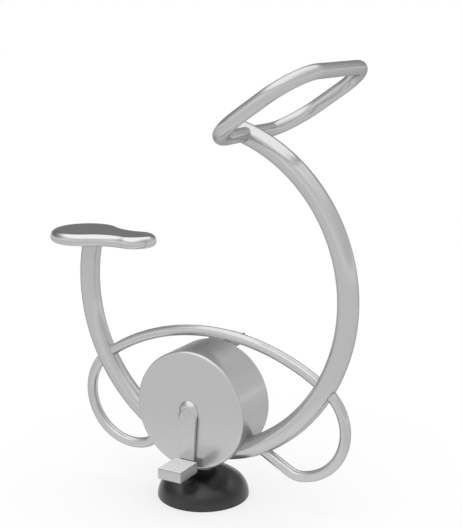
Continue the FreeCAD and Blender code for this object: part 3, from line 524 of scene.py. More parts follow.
class FrameLines:
    """Centre lines of the tubes, worked out from their sizes."""

    def __init__(self, sizes):
        bottom = AXLE_HEIGHT - sizes.spine_drop + sizes.spine_bottom_bend
        self.low = (Vector((sizes.spine_low_offset, 0.0, bottom)), sizes.spine_bottom_bend)
        rear_joint = 3 * QUARTER_TURN - sizes.spine_rear_joint
        fore_joint = 3 * QUARTER_TURN + sizes.spine_fore_joint
        front_joint = 3 * QUARTER_TURN + sizes.spine_front_joint
        self.rear = touching(self.low, rear_joint, sizes.spine_rear_bend)
        self.fore = touching(self.low, fore_joint, sizes.spine_fore_bend)
        self.front = touching(self.fore, front_joint, sizes.spine_front_bend)
        lean = math.asin((PLATE_LOW.z - self.rear[0].z) / self.rear[1])
        spare = sizes.spine_radius / self.rear[1]
        self.spine_end = sizes.bar_place + sizes.spine_overrun / self.front[1]
        self.rear_run = arc_line(self.rear, HALF_TURN - lean - spare, rear_joint)
        self.low_run = arc_line(self.low, rear_joint, fore_joint)
        self.fore_run = arc_line(self.fore, fore_joint, front_joint)
        self.front_run = arc_line(self.front, front_joint - FULL_TURN, self.spine_end)
        self.spine = chain(self.rear_run, self.low_run, self.fore_run, self.front_run)
        self.set_bar(sizes)
        self.set_loops(sizes)

    def set_bar(self, sizes):
        """The handlebar's closed loop, from the middle of its crosspiece."""
        place = on_circle((self.front[0], self.front[1] + sizes.bar_offset), sizes.bar_place)
        forward = Vector((math.cos(sizes.bar_slope), 0.0, math.sin(sizes.bar_slope)))
        across = Vector((0.0, 1.0, 0.0))
        corner = sizes.bar_corner
        near = place + forward * corner
        far = place + forward * (sizes.bar_length - corner)
        side = across * (sizes.bar_width / 2 - corner)
        steps = 40
        self.bar = []
        for middle, start in ((near + side, 2), (far + side, 1), (far - side, 0), (near - side, -1)):
            for number in range(steps + 1):
                angle = (start - number / steps) * QUARTER_TURN
                self.bar.append(middle + (forward * math.cos(angle) + across * math.sin(angle)) * corner)
        self.bar_cross = straight_line(place, place + side * 2, FINE_STEP)

    def set_loops(self, sizes):
        """The arch, and the loop at each end that turns back to the spine."""
        top = AXLE_HEIGHT + DRUM_RADIUS + sizes.arch_rise
        arch = (Vector((sizes.arch_offset, 0.0, top - sizes.arch_bend)), sizes.arch_bend)
        rear_end = angle_on(arch, crossings(arch, self.rear)[0])
        front_end = angle_on(arch, crossings(arch, self.fore)[1])
        self.arch = arc_line(arch, rear_end, front_end)
        self.rear_loop = self.end_loop(arch, rear_end, 1, sizes.rear_loop_bend, sizes.rear_tail_bend,
                                       sizes.rear_tail_start, sizes.rear_tail_end)
        self.front_loop = self.end_loop(arch, front_end, -1, sizes.front_loop_bend, sizes.front_tail_bend,
                                        sizes.front_tail_start, sizes.front_tail_end)

    def end_loop(self, arch, start, turning, bend, tail_bend, tail_start, tail_end):
        """A loop on from one end of the arch, with a tail that turns back to the spine."""
        loop = touching(arch, start, bend)
        tail = touching(loop, tail_start, tail_bend)
        hook = arc_line(tail, tail_start, tail_end, FINE_STEP)
        way = Vector((-math.sin(tail_end), 0.0, math.cos(tail_end))) * turning
        return chain(arc_line(loop, start, tail_start), hook, self.to_circle(hook[-1], way, self.low))

    @staticmethod
    def to_circle(start, way, circle):
        """A straight run from a point to the first point of a circle."""
        offset = start - circle[0]
        half = offset.dot(way)
        reach = -half - math.sqrt(max(0.0, half ** 2 - offset.length_squared + circle[1] ** 2))
        shortest = 0.001
        step = 0.003
        return straight_line(start, start + way * max(shortest, reach), step)


def meeting_line(path, radius, outside, count=72):
    """Closed line where a tube that starts inside a surface comes out of it."""
    nearly_across = 0.9
    ring = []
    for number in range(count):
        angle = FULL_TURN * number / count
        last_point = None
        last_depth = None
        for index, middle in enumerate(path):
            ahead = path[min(index + 1, len(path) - 1)] - path[max(index - 1, 0)]
            across = Vector((0.0, 1.0, 0.0))
            if abs(ahead.normalized().y) > nearly_across:
                across = Vector((1.0, 0.0, 0.0))
            side = ahead.cross(across).normalized()
            other = ahead.cross(side).normalized()
            point = middle + (side * math.cos(angle) + other * math.sin(angle)) * radius
            depth = outside(point)
            if depth >= 0.0 and last_depth is not None and last_depth < 0.0:
                ring.append(last_point.lerp(point, last_depth / (last_depth - depth)))
                break
            last_point = point
            last_depth = depth
        else:
            raise RuntimeError("a tube never leaves the surface that it is welded to")
    return ring


def path_mesh(name, points, closed=False):
    mesh = bpy.data.meshes.new(name)
    edges = [(number, number + 1) for number in range(len(points) - 1)]
    if closed:
        edges.append((len(points) - 1, 0))
    mesh.from_pydata(points, edges, [])
    return mesh


# Meshes from rings of points

def connect(bm, first, second):
    """Faces between two rings; a ring of one point is a pole."""
    count = max(len(first), len(second))
    for number in range(count):
        after = (number + 1) % count
        if len(first) == 1:
            corners = [first[0], second[after], second[number]]
        elif len(second) == 1:
            corners = [first[number], first[after], second[0]]
        else:
            corners = [first[number], first[after], second[after], second[number]]
        bm.faces.new(corners)


def connect_all(bm, rings):
    for first, second in zip(rings, rings[1:]):
        connect(bm, first, second)


def close_rings(bm, rings):
    """A skin over a row of rings, with a face at each end."""
    connect_all(bm, rings)
    bm.faces.new(rings[0])
    bm.faces.new(rings[-1])


def held(profile, gap=0.0005, closed=False):
    """A profile with two more points on each long run, so that smooth shading keeps the run flat."""
    points = []
    ends = profile[1:] + (profile[:1] if closed else [])
    for start, end in zip(profile, ends):
        points.append(start)
        run = math.hypot(end[0] - start[0], end[1] - start[1])
        if run > 4 * gap:
            for part in (gap / run, 1 - gap / run):
                points.append(tuple(low + (high - low) * part for low, high in zip(start, end)))
    if not closed:
        points.append(profile[-1])
    return points


def arc_points(centre, radius, start, end, count):
    """Points of an arc in a profile or plan."""
    points = []
    for number in range(count + 1):
        angle = start + (end - start) * number / count
        points.append((centre[0] + radius * math.cos(angle), centre[1] + radius * math.sin(angle)))
    return points


def corner_round(centre, radius, start, end, count):
    """Points of a rounded corner in a profile, angles in degrees."""
    return arc_points(centre, radius, math.radians(start), math.radians(end), count)


def turned(bm, profile, matrix, count, closed=False):
    """A profile of (radius, height) points turned about the local Z axis."""
    on_axis = 1e-7
    rings = []
    for radius, height in profile:
        if radius < on_axis:
            rings.append([bm.verts.new(matrix @ Vector((0.0, 0.0, height)))])
            continue
        ring = []
        for number in range(count):
            angle = FULL_TURN * number / count
            spot = Vector((radius * math.cos(angle), radius * math.sin(angle), height))
            ring.append(bm.verts.new(matrix @ spot))
        rings.append(ring)
    connect_all(bm, rings + (rings[:1] if closed else []))


def loop_edges(bm, ring):
    """The edges round a closed ring of points, made where they are missing."""
    edges = []
    for number, point in enumerate(ring):
        pair = (point, ring[(number + 1) % len(ring)])
        edges.append(bm.edges.get(pair) or bm.edges.new(pair))
    return edges


def flat_face(bm, outline, holes=(), margin=0.0004):
    """A flat face inside an outline, round its holes, with a narrow border that keeps it flat."""
    edges = loop_edges(bm, outline)
    for hole in holes:
        edges += loop_edges(bm, hole)
    made = bmesh.ops.triangle_fill(bm, use_beauty=True, use_dissolve=False, edges=edges)
    faces = [item for item in made["geom"] if isinstance(item, bmesh.types.BMFace)]
    bmesh.ops.inset_region(bm, faces=faces, thickness=margin, use_boundary=True, use_even_offset=True)


def as_mesh(name, bm):
    mesh = bpy.data.meshes.new(name)
    bm.to_mesh(mesh)
    bm.free()
    return mesh


def link_piece(name, mesh, body, nodes):
    piece = bpy.data.objects.new(name, mesh)
    bpy.context.scene.collection.objects.link(piece)
    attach(piece, body)
    if nodes:
        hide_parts(*nodes)
    return piece


def shade_smooth(mesh, sharp):
    """Smooth faces with sharp edges past an angle in degrees."""
    mesh.polygons.foreach_set("use_smooth", [True] * len(mesh.polygons))
    mesh.set_sharp_from_angle(angle=math.radians(sharp))


def finish_piece(name, bm, body, slot, nodes=(), sharp=32):
    """Merges doubles, turns the faces outwards and makes the object of a piece."""
    same_place = 1e-6
    bmesh.ops.remove_doubles(bm, verts=bm.verts, dist=same_place)
    bmesh.ops.recalc_face_normals(bm, faces=bm.faces)
    mesh = as_mesh(name, bm)
    shade_smooth(mesh, sharp)
    mesh.materials.append(finish_for(slot))
    return link_piece(name, mesh, body, nodes)


def turned_piece(name, profile, matrix, count, slot, node, closed=True):
    """A piece of the frame turned from a profile."""
    bm = bmesh.new()
    turned(bm, profile, matrix, count, closed)
    finish_piece(name, bm, "frame", slot, [node])


def along_axle():
    """Matrix that lays a turned piece along the axle."""
    return Matrix.Translation((0.0, 0.0, AXLE_HEIGHT)) @ Matrix.Rotation(-QUARTER_TURN, 4, "X")


# Finishes

FINISHES = {}

# Orange peel of the silver coats
PEEL_SCALE = 420.0
PEEL_DEPTH = 0.00001


def palette():
    return bpy.context.scene.bike_colours


def silver_coat(name, tint, roughness, flake=None, edge=None):
    """Satin silver coat: fine metal flakes and a slow drift in tone."""
    colours = palette()
    edge_tint = colours.edge_tint if edge is None else edge
    finish = Finish(name)
    drift = finish.spots(5.0, 3.0)
    flakes = finish.spots(2600.0, 1.0)
    smears = finish.spots(34.0, 5.0)
    finish.paint({
        "Base Color": finish.shade(tint, 0.955 + 0.05 * drift + 0.04 * flakes),
        "Metallic": colours.flake if flake is None else flake,
        "Roughness": roughness - 0.04 + 0.05 * drift + 0.03 * smears,
        "Specular IOR Level": 0.0,
        "Specular Tint": (edge_tint, edge_tint, edge_tint, 1.0),
    })
    return finish


def tube_silver():
    finish = silver_coat("tube_silver", palette().tube_silver, 0.21)
    finish.relief(finish.spots(PEEL_SCALE), PEEL_DEPTH)
    return finish


def crank_silver():
    """The coat of the tubes over the lengthwise marks of a ground bar."""
    finish = silver_coat("crank_silver", palette().tube_silver, 0.21)
    finish.relief(finish.streaks((900.0, 900.0, 14.0), 3.0), 0.000015)
    return finish


def drum_silver():
    """The coat over pressed sheet, with the faint rings left by forming it."""
    finish = silver_coat("drum_silver", palette().drum_silver, 0.24)
    across = finish.part(finish.place, "X")
    up = finish.part(finish.place, "Z") - AXLE_HEIGHT
    reach = (across * across + up * up).root()
    rings = ((reach + finish.spots(9.0) * 0.004) * 900.0).sine()
    finish.relief(rings + 0.6 * finish.spots(PEEL_SCALE), 0.000004)
    return finish


def saddle_silver():
    """A smoother coat than the tubes', all flake."""
    finish = silver_coat("saddle_silver", palette().saddle_silver, 0.17, flake=1.0, edge=0.8)
    finish.relief(finish.spots(PEEL_SCALE), PEEL_DEPTH)
    return finish


def pedal_silver():
    """Painted casting: grainy pale skin, treads paler from painted light and shoe wear, ends painted darker
    as shade, grime in the grooves.
    """
    finish = Finish("pedal_silver")
    up = finish.part(finish.place, "Z") - AXLE_HEIGHT
    from_axis = abs(abs(up) - (AXLE_HEIGHT - PEDAL_HEIGHT))
    skin_depth = 0.0001
    groove_fade = 0.0006
    tread_fade = 0.0005
    tread = (PEDAL_HIGH.z - PEDAL_LOW.z) / 2 - skin_depth
    normal = finish.node("ShaderNodeTexCoord", {}, {}, "Normal")
    level = finish.span(abs(finish.part(normal, "Z")), 0.25, 0.6)
    # Painted shade: faces that face along X are painted darker, standing in for the shade on the pedal's
    # ends.
    ends = finish.span(abs(finish.part(normal, "X")), 0.5, 0.9)
    groove = level * finish.span(from_axis, tread - groove_fade, tread, 1.0, 0.0)
    # Painted light and wear: the tread faces are painted paler, standing in for light from above as well as
    # rubbing by shoes.
    rubbed_and_painted_light = level * finish.span(from_axis, tread - tread_fade, tread)
    grain = finish.spots(700.0, 3.0)
    stain = finish.spots(60.0, 4.0)
    # The skin is paler on the treads (painted light and wear) and darker on the ends (painted shade).
    skin = finish.shade(palette().pedal_silver, 0.82 + 0.06 * grain + 0.5 * rubbed_and_painted_light - 0.4 * ends)
    grime = groove * finish.span(stain, 0.25, 0.6, 0.25, 0.6)
    return finish.coat(grime, skin, (0.16, 0.155, 0.15), metallic=0.8 - 0.75 * level,
                       roughness=0.27 + 0.08 * stain + 0.1 * level + 0.25 * grime,
                       marks=grain + 0.5 * stain, depth=0.00004)


def dome_black():
    """Moulded rubber: fine grain, a bloom of grey dust near the ground."""
    finish = Finish("dome_black")
    patches = finish.spots(22.0, 5.0)
    dust = finish.span(finish.part(finish.place, "Z"), 0.0, 0.03, 0.06, 0.01)
    dust = dust * finish.span(patches, 0.35, 0.7)
    skin = finish.shade(palette().dome_black, 0.85 + 0.3 * patches)
    finish.paint({"Specular IOR Level": 0.65})
    return finish.coat(dust, skin, (0.20, 0.19, 0.18), metallic=0.0,
                       roughness=0.22 + 0.08 * patches + 0.8 * dust,
                       marks=finish.spots(1500.0) + 0.4 * patches, depth=0.00008)


def spangled_zinc():
    """Hot-dip zinc with its crystal pattern."""
    finish = Finish("spangled_zinc")
    spangle = finish.node("ShaderNodeTexVoronoi", {}, {"Vector": finish.place, "Scale": 90.0}, "Color")
    facet = finish.part(spangle, "X")
    cloud = finish.spots(14.0, 4.0)
    return finish.coat(facet, (0.40, 0.41, 0.42), (0.56, 0.57, 0.58), metallic=0.9,
                       roughness=0.34 + 0.16 * facet + 0.12 * cloud, marks=facet + cloud, depth=0.00002)


def primed_steel():
    """Grey primer, sprayed unevenly."""
    finish = Finish("primed_steel")
    cloud = finish.spots(18.0, 4.0)
    return finish.coat(cloud, (0.17, 0.17, 0.175), (0.25, 0.25, 0.255), metallic=0.1,
                       roughness=0.55 + 0.2 * cloud, marks=finish.spots(1100.0), depth=0.00003)


def turned_steel():
    """Bare steel with the rings of a lathe tool across its Y axis."""
    finish = Finish("turned_steel")
    marks = finish.streaks((20.0, 2600.0, 20.0))
    return finish.coat(finish.spots(30.0, 3.0), (0.46, 0.46, 0.47), (0.58, 0.58, 0.58), metallic=1.0,
                       roughness=0.22 + 0.14 * marks, marks=marks, depth=0.000012)


def plated_screw():
    """Bright zinc plating with a faint straw tint."""
    finish = Finish("plated_screw")
    wear = finish.spots(900.0)
    return finish.coat(finish.spots(160.0, 3.0), (0.56, 0.57, 0.58), (0.62, 0.59, 0.52), metallic=1.0,
                       roughness=0.2 + 0.16 * wear, marks=wear, depth=0.00001)


def seal_rubber():
    """Black rubber of the axle seals."""
    finish = Finish("seal_rubber")
    cloud = finish.spots(70.0, 3.0)
    return finish.coat(cloud, (0.016, 0.016, 0.017), (0.035, 0.034, 0.033), metallic=0.0,
                       roughness=0.5 + 0.2 * cloud, marks=finish.spots(1800.0), depth=0.00003)


def belt_rubber():
    """Belt with its woven back."""
    finish = Finish("belt_rubber")
    threads = [(finish.part(finish.place, axis) * 5200.0).sine() for axis in "YZ"]
    cloud = finish.spots(50.0, 3.0)
    return finish.coat(cloud, (0.014, 0.014, 0.015), (0.030, 0.030, 0.030), metallic=0.0,
                       roughness=0.62 + 0.15 * cloud, marks=threads[0] * threads[1], depth=0.00005)


def magnet_nickel():
    """Nickel plating with fine handling marks."""
    finish = Finish("magnet_nickel")
    marks = finish.streaks((700.0, 40.0, 60.0), 3.0)
    return finish.coat(finish.spots(90.0), (0.58, 0.55, 0.50), (0.66, 0.62, 0.56), metallic=1.0,
                       roughness=0.14 + 0.14 * marks, marks=marks, depth=0.000006)


def bush_bronze():
    """Porous bearing bronze."""
    finish = Finish("bush_bronze")
    pores = finish.spots(2200.0)
    return finish.coat(finish.spots(80.0, 3.0), (0.42, 0.25, 0.11), (0.55, 0.35, 0.17), metallic=1.0,
                       roughness=0.3 + 0.2 * pores, marks=pores, depth=0.00002)


FINISH_MAKERS = {
    "frame_silver": tube_silver,
    "crank_silver": crank_silver,
    "drum_silver": drum_silver,
    "saddle_silver": saddle_silver,
    "pedal_silver": pedal_silver,
    "dome_black": dome_black,
    "flange_steel": spangled_zinc,
    "inner_steel": primed_steel,
    "machined_steel": turned_steel,
    "fastener_steel": plated_screw,
    "seal_rubber": seal_rubber,
    "belt_rubber": belt_rubber,
    "magnet_nickel": magnet_nickel,
    "bush_bronze": bush_bronze,
}


def finish_for(slot):
    """The material of a slot, made when it is first asked for."""
    if slot not in FINISHES:
        FINISHES[slot] = FINISH_MAKERS[slot]().material
    return FINISHES[slot]


class BIKE_OT_stage(bpy.types.Operator):
    """Make the floor, the soft room light and the camera"""
    bl_idname = "bike.stage"
    bl_label = "Stage"

    def execute(self, context):
        stage = context.scene.bike_stage
        self.make_floor(context, stage)
        self.make_light(context, stage)
        self.make_camera(context, stage)
        context.scene.view_settings.view_transform = "Standard"
        return {"FINISHED"}

    def make_floor(self, context, stage):
        bm = bmesh.new()
        bmesh.ops.create_grid(bm, x_segments=8, y_segments=8, size=stage.floor_size / 2)
        floor = bpy.data.objects.new("floor", as_mesh("floor", bm))
        context.scene.collection.objects.link(floor)
        floor.data.materials.append(self.floor_finish(stage))

    def floor_finish(self, stage):
        """White as it is seen or mirrored, less so where it is mirrored from far off."""
        near_edge = 0.35
        far_edge = 0.95
        white = (1.0, 1.0, 1.0)
        finish = Finish("floor_white")
        tone = 0.99 + 0.02 * finish.spots(0.8)
        across = finish.part(finish.place, "X")
        away = finish.part(finish.place, "Y")
        distance = (across * across + away * away).root()
        near = finish.span(distance, near_edge, far_edge, 1.0, stage.floor_far)
        watched = finish.light_path("Is Camera Ray")
        finish.paint({
            "Base Color": finish.shade(stage.floor, tone),
            "Roughness": 0.9,
            "Specular IOR Level": 0.0,
            "Emission Color": finish.shade(white, near + watched * (1.0 - near)),
            "Emission Strength": stage.floor_glow,
        })
        plain = finish.node("ShaderNodeBsdfDiffuse", {}, {"Color": (*stage.floor_bounce, 1.0)})
        shown = Value(finish, finish.shader.outputs[0])
        whole = finish.node("ShaderNodeMixShader", {}, {0: watched + finish.mirrored(), 1: plain, 2: shown})
        leave = next(node for node in finish.tree.nodes if node.type == "OUTPUT_MATERIAL")
        finish.feed(leave.inputs, {"Surface": whole})
        return finish.material

    def make_light(self, context, stage):
        """A pale room, dim behind the saddle, with a soft light in its ceiling and a white backdrop."""
        world = bpy.data.worlds.new("soft_room")
        world.use_nodes = True
        context.scene.world = world
        sheet = Sheet(world.node_tree)
        way = sheet.node("ShaderNodeTexCoord", {}, {}, "Generated")
        ahead, aside, rise = [sheet.part(way, axis) for axis in "XYZ"]
        room = sheet.span(aside, *SIDE_FADE, stage.front, stage.behind)
        room = room * sheet.span(ahead, *FAR_WALL_FADE, 1.0, stage.far_wall)
        to_corner = CORNER_ASIDE * aside - CORNER_BACK * ahead
        corner = sheet.span(to_corner, *CORNER_FADE) * sheet.span(rise, *CORNER_TOP, 1.0, 0.0)
        room = room * (1.0 - corner * (1.0 - stage.dim_corner))
        to_glow = (ahead + aside) * GLOW_SHARE
        glow = sheet.span(to_glow, *GLOW_FADE) * sheet.span(rise, *GLOW_TOP, 1.0, 0.0)
        room = room * (1.0 + glow * stage.low_glow)
        lowered = rise + CEILING_SLOPE * ahead.work("MINIMUM", ahead + CEILING_BEND, 0.0)
        ceiling = sheet.span(lowered, *CEILING_EDGE)
        lamp = sheet.span(ahead, *LAMP_EDGE, stage.overhead, stage.beside)
        walls = room * (1.0 - ceiling) + ceiling * lamp
        backdrop = sheet.span(rise, *BACKDROP_TOP, 1.0, 0.0)
        shown = sheet.light_path("Is Camera Ray") + sheet.mirrored() * backdrop
        strength = walls + shown * (1.0 - walls)
        background = next(node for node in world.node_tree.nodes if node.type == "BACKGROUND")
        sheet.feed(background.inputs, {"Color": (1.0, 1.0, 1.0, 1.0), "Strength": strength})

    def make_camera(self, context, stage):
        data = bpy.data.cameras.new("photo_camera")
        data.lens = stage.lens
        camera = bpy.data.objects.new("photo_camera", data)
        context.scene.collection.objects.link(camera)
        camera.location = stage.camera
        facing = Vector(stage.target) - Vector(stage.camera)
        camera.rotation_euler = facing.to_track_quat("-Z", "Y").to_euler()
        context.scene.camera = camera


class BIKE_OT_tubes(bpy.types.Operator):
    """Make the spine, handlebar, arch and end loops as smooth tubes"""
    bl_idname = "bike.tubes"
    bl_label = "Tubes"

    def execute(self, context):
        sizes = context.scene.bike_tubes
        lines = FrameLines(sizes)
        recipe = tube_recipe()
        thin = sizes.loop_radius
        rows = [
            ("spine", lines.spine, False, sizes.spine_radius, SPINE_SIDES),
            ("handlebar", lines.bar, True, sizes.bar_radius, BAR_SIDES),
            ("arch", lines.arch, False, thin, LOOP_SIDES),
            ("rear_loop", lines.rear_loop, False, thin, LOOP_SIDES),
            ("front_loop", lines.front_loop, False, thin, LOOP_SIDES),
        ]
        for name, line, closed, radius, sides in rows:
            mesh = recipe.run(name, path_mesh(name + "_path", line, closed),
                              {"Radius": radius, "Sides": sides, "Finish": finish_for("frame_silver")})
            if name == "spine":
                self.cut_level(mesh)
            shade_smooth(mesh, sharp=40)
            link_piece(name, mesh, "frame", [name + "_tube"])
        self.make_cap(sizes, lines)
        return {"FINISHED"}

    def cut_level(self, mesh):
        """Cuts the spine's rear end level under the saddle plate."""
        bm = bmesh.new()
        bm.from_mesh(mesh)
        rear = [vertex for vertex in bm.verts if vertex.co.x < PLATE_HIGH.x]
        faces = list(dict.fromkeys(face for vertex in rear for face in vertex.link_faces))
        edges = list(dict.fromkeys(edge for face in faces for edge in face.edges))
        cut = bmesh.ops.bisect_plane(bm, geom=rear + edges + faces, plane_co=(0.0, 0.0, PLATE_LOW.z),
                                     plane_no=(0.0, 0.0, 1.0), clear_outer=True)
        rim = [item for item in cut["geom_cut"] if isinstance(item, bmesh.types.BMEdge)]
        bmesh.ops.contextual_create(bm, geom=rim)
        bmesh.ops.recalc_face_normals(bm, faces=bm.faces)
        bm.to_mesh(mesh)
        bm.free()

    def make_cap(self, sizes, lines):
        """The domed cap at the spine's upper end, with a fine joint line under it."""
        radius = sizes.spine_radius
        ball = (radius ** 2 + sizes.cap_rise ** 2) / (2 * sizes.cap_rise)
        depth = 0.004
        skirt = radius - 0.0008
        edge = radius - 0.0003
        line_floor = 0.0004
        line_top = 0.0006
        lowest = 0.0009
        steps = 12
        profile = [(0.0, -depth), (skirt, -depth), (skirt, line_floor), (edge, line_top)]
        lean = math.asin(edge / ball)
        for number in range(steps + 1):
            angle = lean * (1 - number / steps)
            height = sizes.cap_rise - ball * (1 - math.cos(angle))
            profile.append((ball * math.sin(angle), max(height, lowest)))
        end = on_circle(lines.front, lines.spine_end)
        way = Vector((-math.sin(lines.spine_end), 0.0, math.cos(lines.spine_end)))
        matrix = Matrix.Translation(end) @ way.to_track_quat("Z", "Y").to_matrix().to_4x4()
        turned_piece("spine_end_cap", profile, matrix, SPINE_SIDES, "frame_silver", "spine_cap", False)


class BIKE_OT_welds(bpy.types.Operator):
    """Make a weld bead where tubes meet each other, the drum and the saddle plate"""
    bl_idname = "bike.welds"
    bl_label = "Welds"

    def execute(self, context):
        sizes = context.scene.bike_tubes
        drive = context.scene.bike_drive
        lines = FrameLines(sizes)
        recipe = weld_recipe()
        thin = sizes.loop_radius
        bends = (lines.rear, lines.low, lines.fore, lines.front)
        rear, low, fore, front = [self.off_tube(bend, sizes.spine_radius) for bend in bends]
        middle = len(lines.low_run) // 2
        spine_back = lines.low_run[middle::-1] + lines.rear_run[::-1][1:]
        spine_fore = lines.low_run[middle:] + lines.fore_run[1:]
        neck_foot = 0.05
        neck_top = AXLE_HEIGHT - sizes.spine_drop
        neck = straight_line(Vector((0.0, 0.0, neck_top)), Vector((0.0, 0.0, neck_foot)), FINE_STEP)
        across = [Vector((point.x, -point.y, point.z)) for point in lines.bar_cross]
        joints = [
            (lines.arch, thin, rear),
            (lines.arch[::-1], thin, fore),
            (lines.rear_loop, thin, rear),
            (lines.rear_loop[::-1], thin, low),
            (lines.front_loop, thin, fore),
            (lines.front_loop[::-1], thin, low),
            (lines.bar_cross, sizes.bar_radius, front),
            (across, sizes.bar_radius, front),
            (spine_back, sizes.spine_radius, self.off_drum),
            (spine_fore, sizes.spine_radius, self.off_drum),
            (neck, drive.neck_radius, self.off_drum),
            (lines.rear_run, sizes.spine_radius, lambda point: PLATE_LOW.z - point.z),
        ]
        bead = {"Radius": sizes.weld_radius, "Ripple length": sizes.weld_ripple, "Ripple depth": 0.14,
                "Finish": finish_for("frame_silver")}
        bm = bmesh.new()
        for path, radius, outside in joints:
            ring = meeting_line(path, radius, outside)
            bm.from_mesh(recipe.run("weld", path_mesh("weld_path", ring, True), bead))
        finish_piece("weld_beads", bm, "frame", "frame_silver", sharp=80)
        return {"FINISHED"}

    @staticmethod
    def off_tube(circle, radius):
        """Distance of a point from the skin of a tube bent on a circle."""
        def outside(point):
            aside = math.hypot(point.x - circle[0].x, point.z - circle[0].z) - circle[1]
            return math.hypot(aside, point.y) - radius
        return outside

    @staticmethod
    def off_drum(point):
        """Distance of a point from the drum's rim."""
        return math.hypot(point.x, point.z - AXLE_HEIGHT) - DRUM_RADIUS


class BIKE_OT_saddle(bpy.types.Operator):
    """Make the hollow saddle shell"""
    bl_idname = "bike.saddle"
    bl_label = "Saddle"

    def execute(self, context):
        sizes = context.scene.bike_saddle
        top = SADDLE_HIGH.z
        bottom = SADDLE_LOW.z
        roof = top - sizes.crown
        low_bend = sizes.bottom_round
        high_bend = sizes.top_round
        chamfer = 0.001
        flat_inset = 0.6 * sizes.nose_radius
        profile = [(sizes.rim, roof), (sizes.rim, bottom + chamfer), (sizes.rim - chamfer, bottom)]
        profile += corner_round((low_bend, bottom + low_bend), low_bend, 270, 180, 12)
        profile += corner_round((high_bend, top - high_bend), high_bend, 180, 90, 16)
        profile += [(flat_inset, top)]
        bm = bmesh.new()
        rings = []
        for inset, height in held(profile):
            rings.append([bm.verts.new((x, y, height)) for x, y in self.outline(sizes, inset)])
        close_rings(bm, rings)
        self.make_bosses(bm, sizes, roof)
        finish_piece("saddle", bm, "frame", "saddle_silver", ["saddle_shell"], sharp=50)
        return {"FINISHED"}

    def make_bosses(self, bm, sizes, roof):
        """Four screw bosses that stand on the saddle plate."""
        foot = PLATE_HIGH.z
        head = roof + 0.002
        chamfer = 0.0005
        boss_sides = 32
        radius = sizes.boss_radius
        boss = [(0.0, head), (radius, head), (radius, foot + chamfer), (radius - chamfer, foot),
                (0.0, foot)]
        middle = (PLATE_LOW.x + PLATE_HIGH.x) / 2
        half = sizes.boss_pitch / 2
        for x in (middle - half, middle + half):
            for y in (-half, half):
                turned(bm, held(boss), Matrix.Translation((x, y, 0.0)), boss_sides)

    def outline(self, sizes, inset):
        """Plan of the saddle, drawn in by an inset: rear lobe, waist, nose, waist."""
        rear = SADDLE_LOW.x + sizes.rear_radius
        nose = rear + sizes.lobe_spacing
        to_rear = sizes.rear_radius + sizes.waist_radius
        to_nose = sizes.nose_radius + sizes.waist_radius
        along = (to_rear ** 2 - to_nose ** 2 + sizes.lobe_spacing ** 2) / (2 * sizes.lobe_spacing)
        aside = math.sqrt(to_rear ** 2 - along ** 2)
        rear_angle = math.atan2(aside, along)
        nose_angle = math.atan2(aside, along - sizes.lobe_spacing)
        rear_steps = 72
        waist_steps = 28
        nose_steps = 56
        waist = sizes.waist_radius + inset
        rear_lobe = sizes.rear_radius - inset
        nose_lobe = sizes.nose_radius - inset
        arcs = [
            ((rear, 0.0), rear_lobe, rear_angle, FULL_TURN - rear_angle, rear_steps),
            ((rear + along, -aside), waist, HALF_TURN - rear_angle, HALF_TURN - nose_angle, waist_steps),
            ((nose, 0.0), nose_lobe, -nose_angle, nose_angle, nose_steps),
            ((rear + along, aside), waist, nose_angle - HALF_TURN, rear_angle - HALF_TURN, waist_steps),
        ]
        return [point for arc in arcs for point in arc_points(*arc)[:-1]]


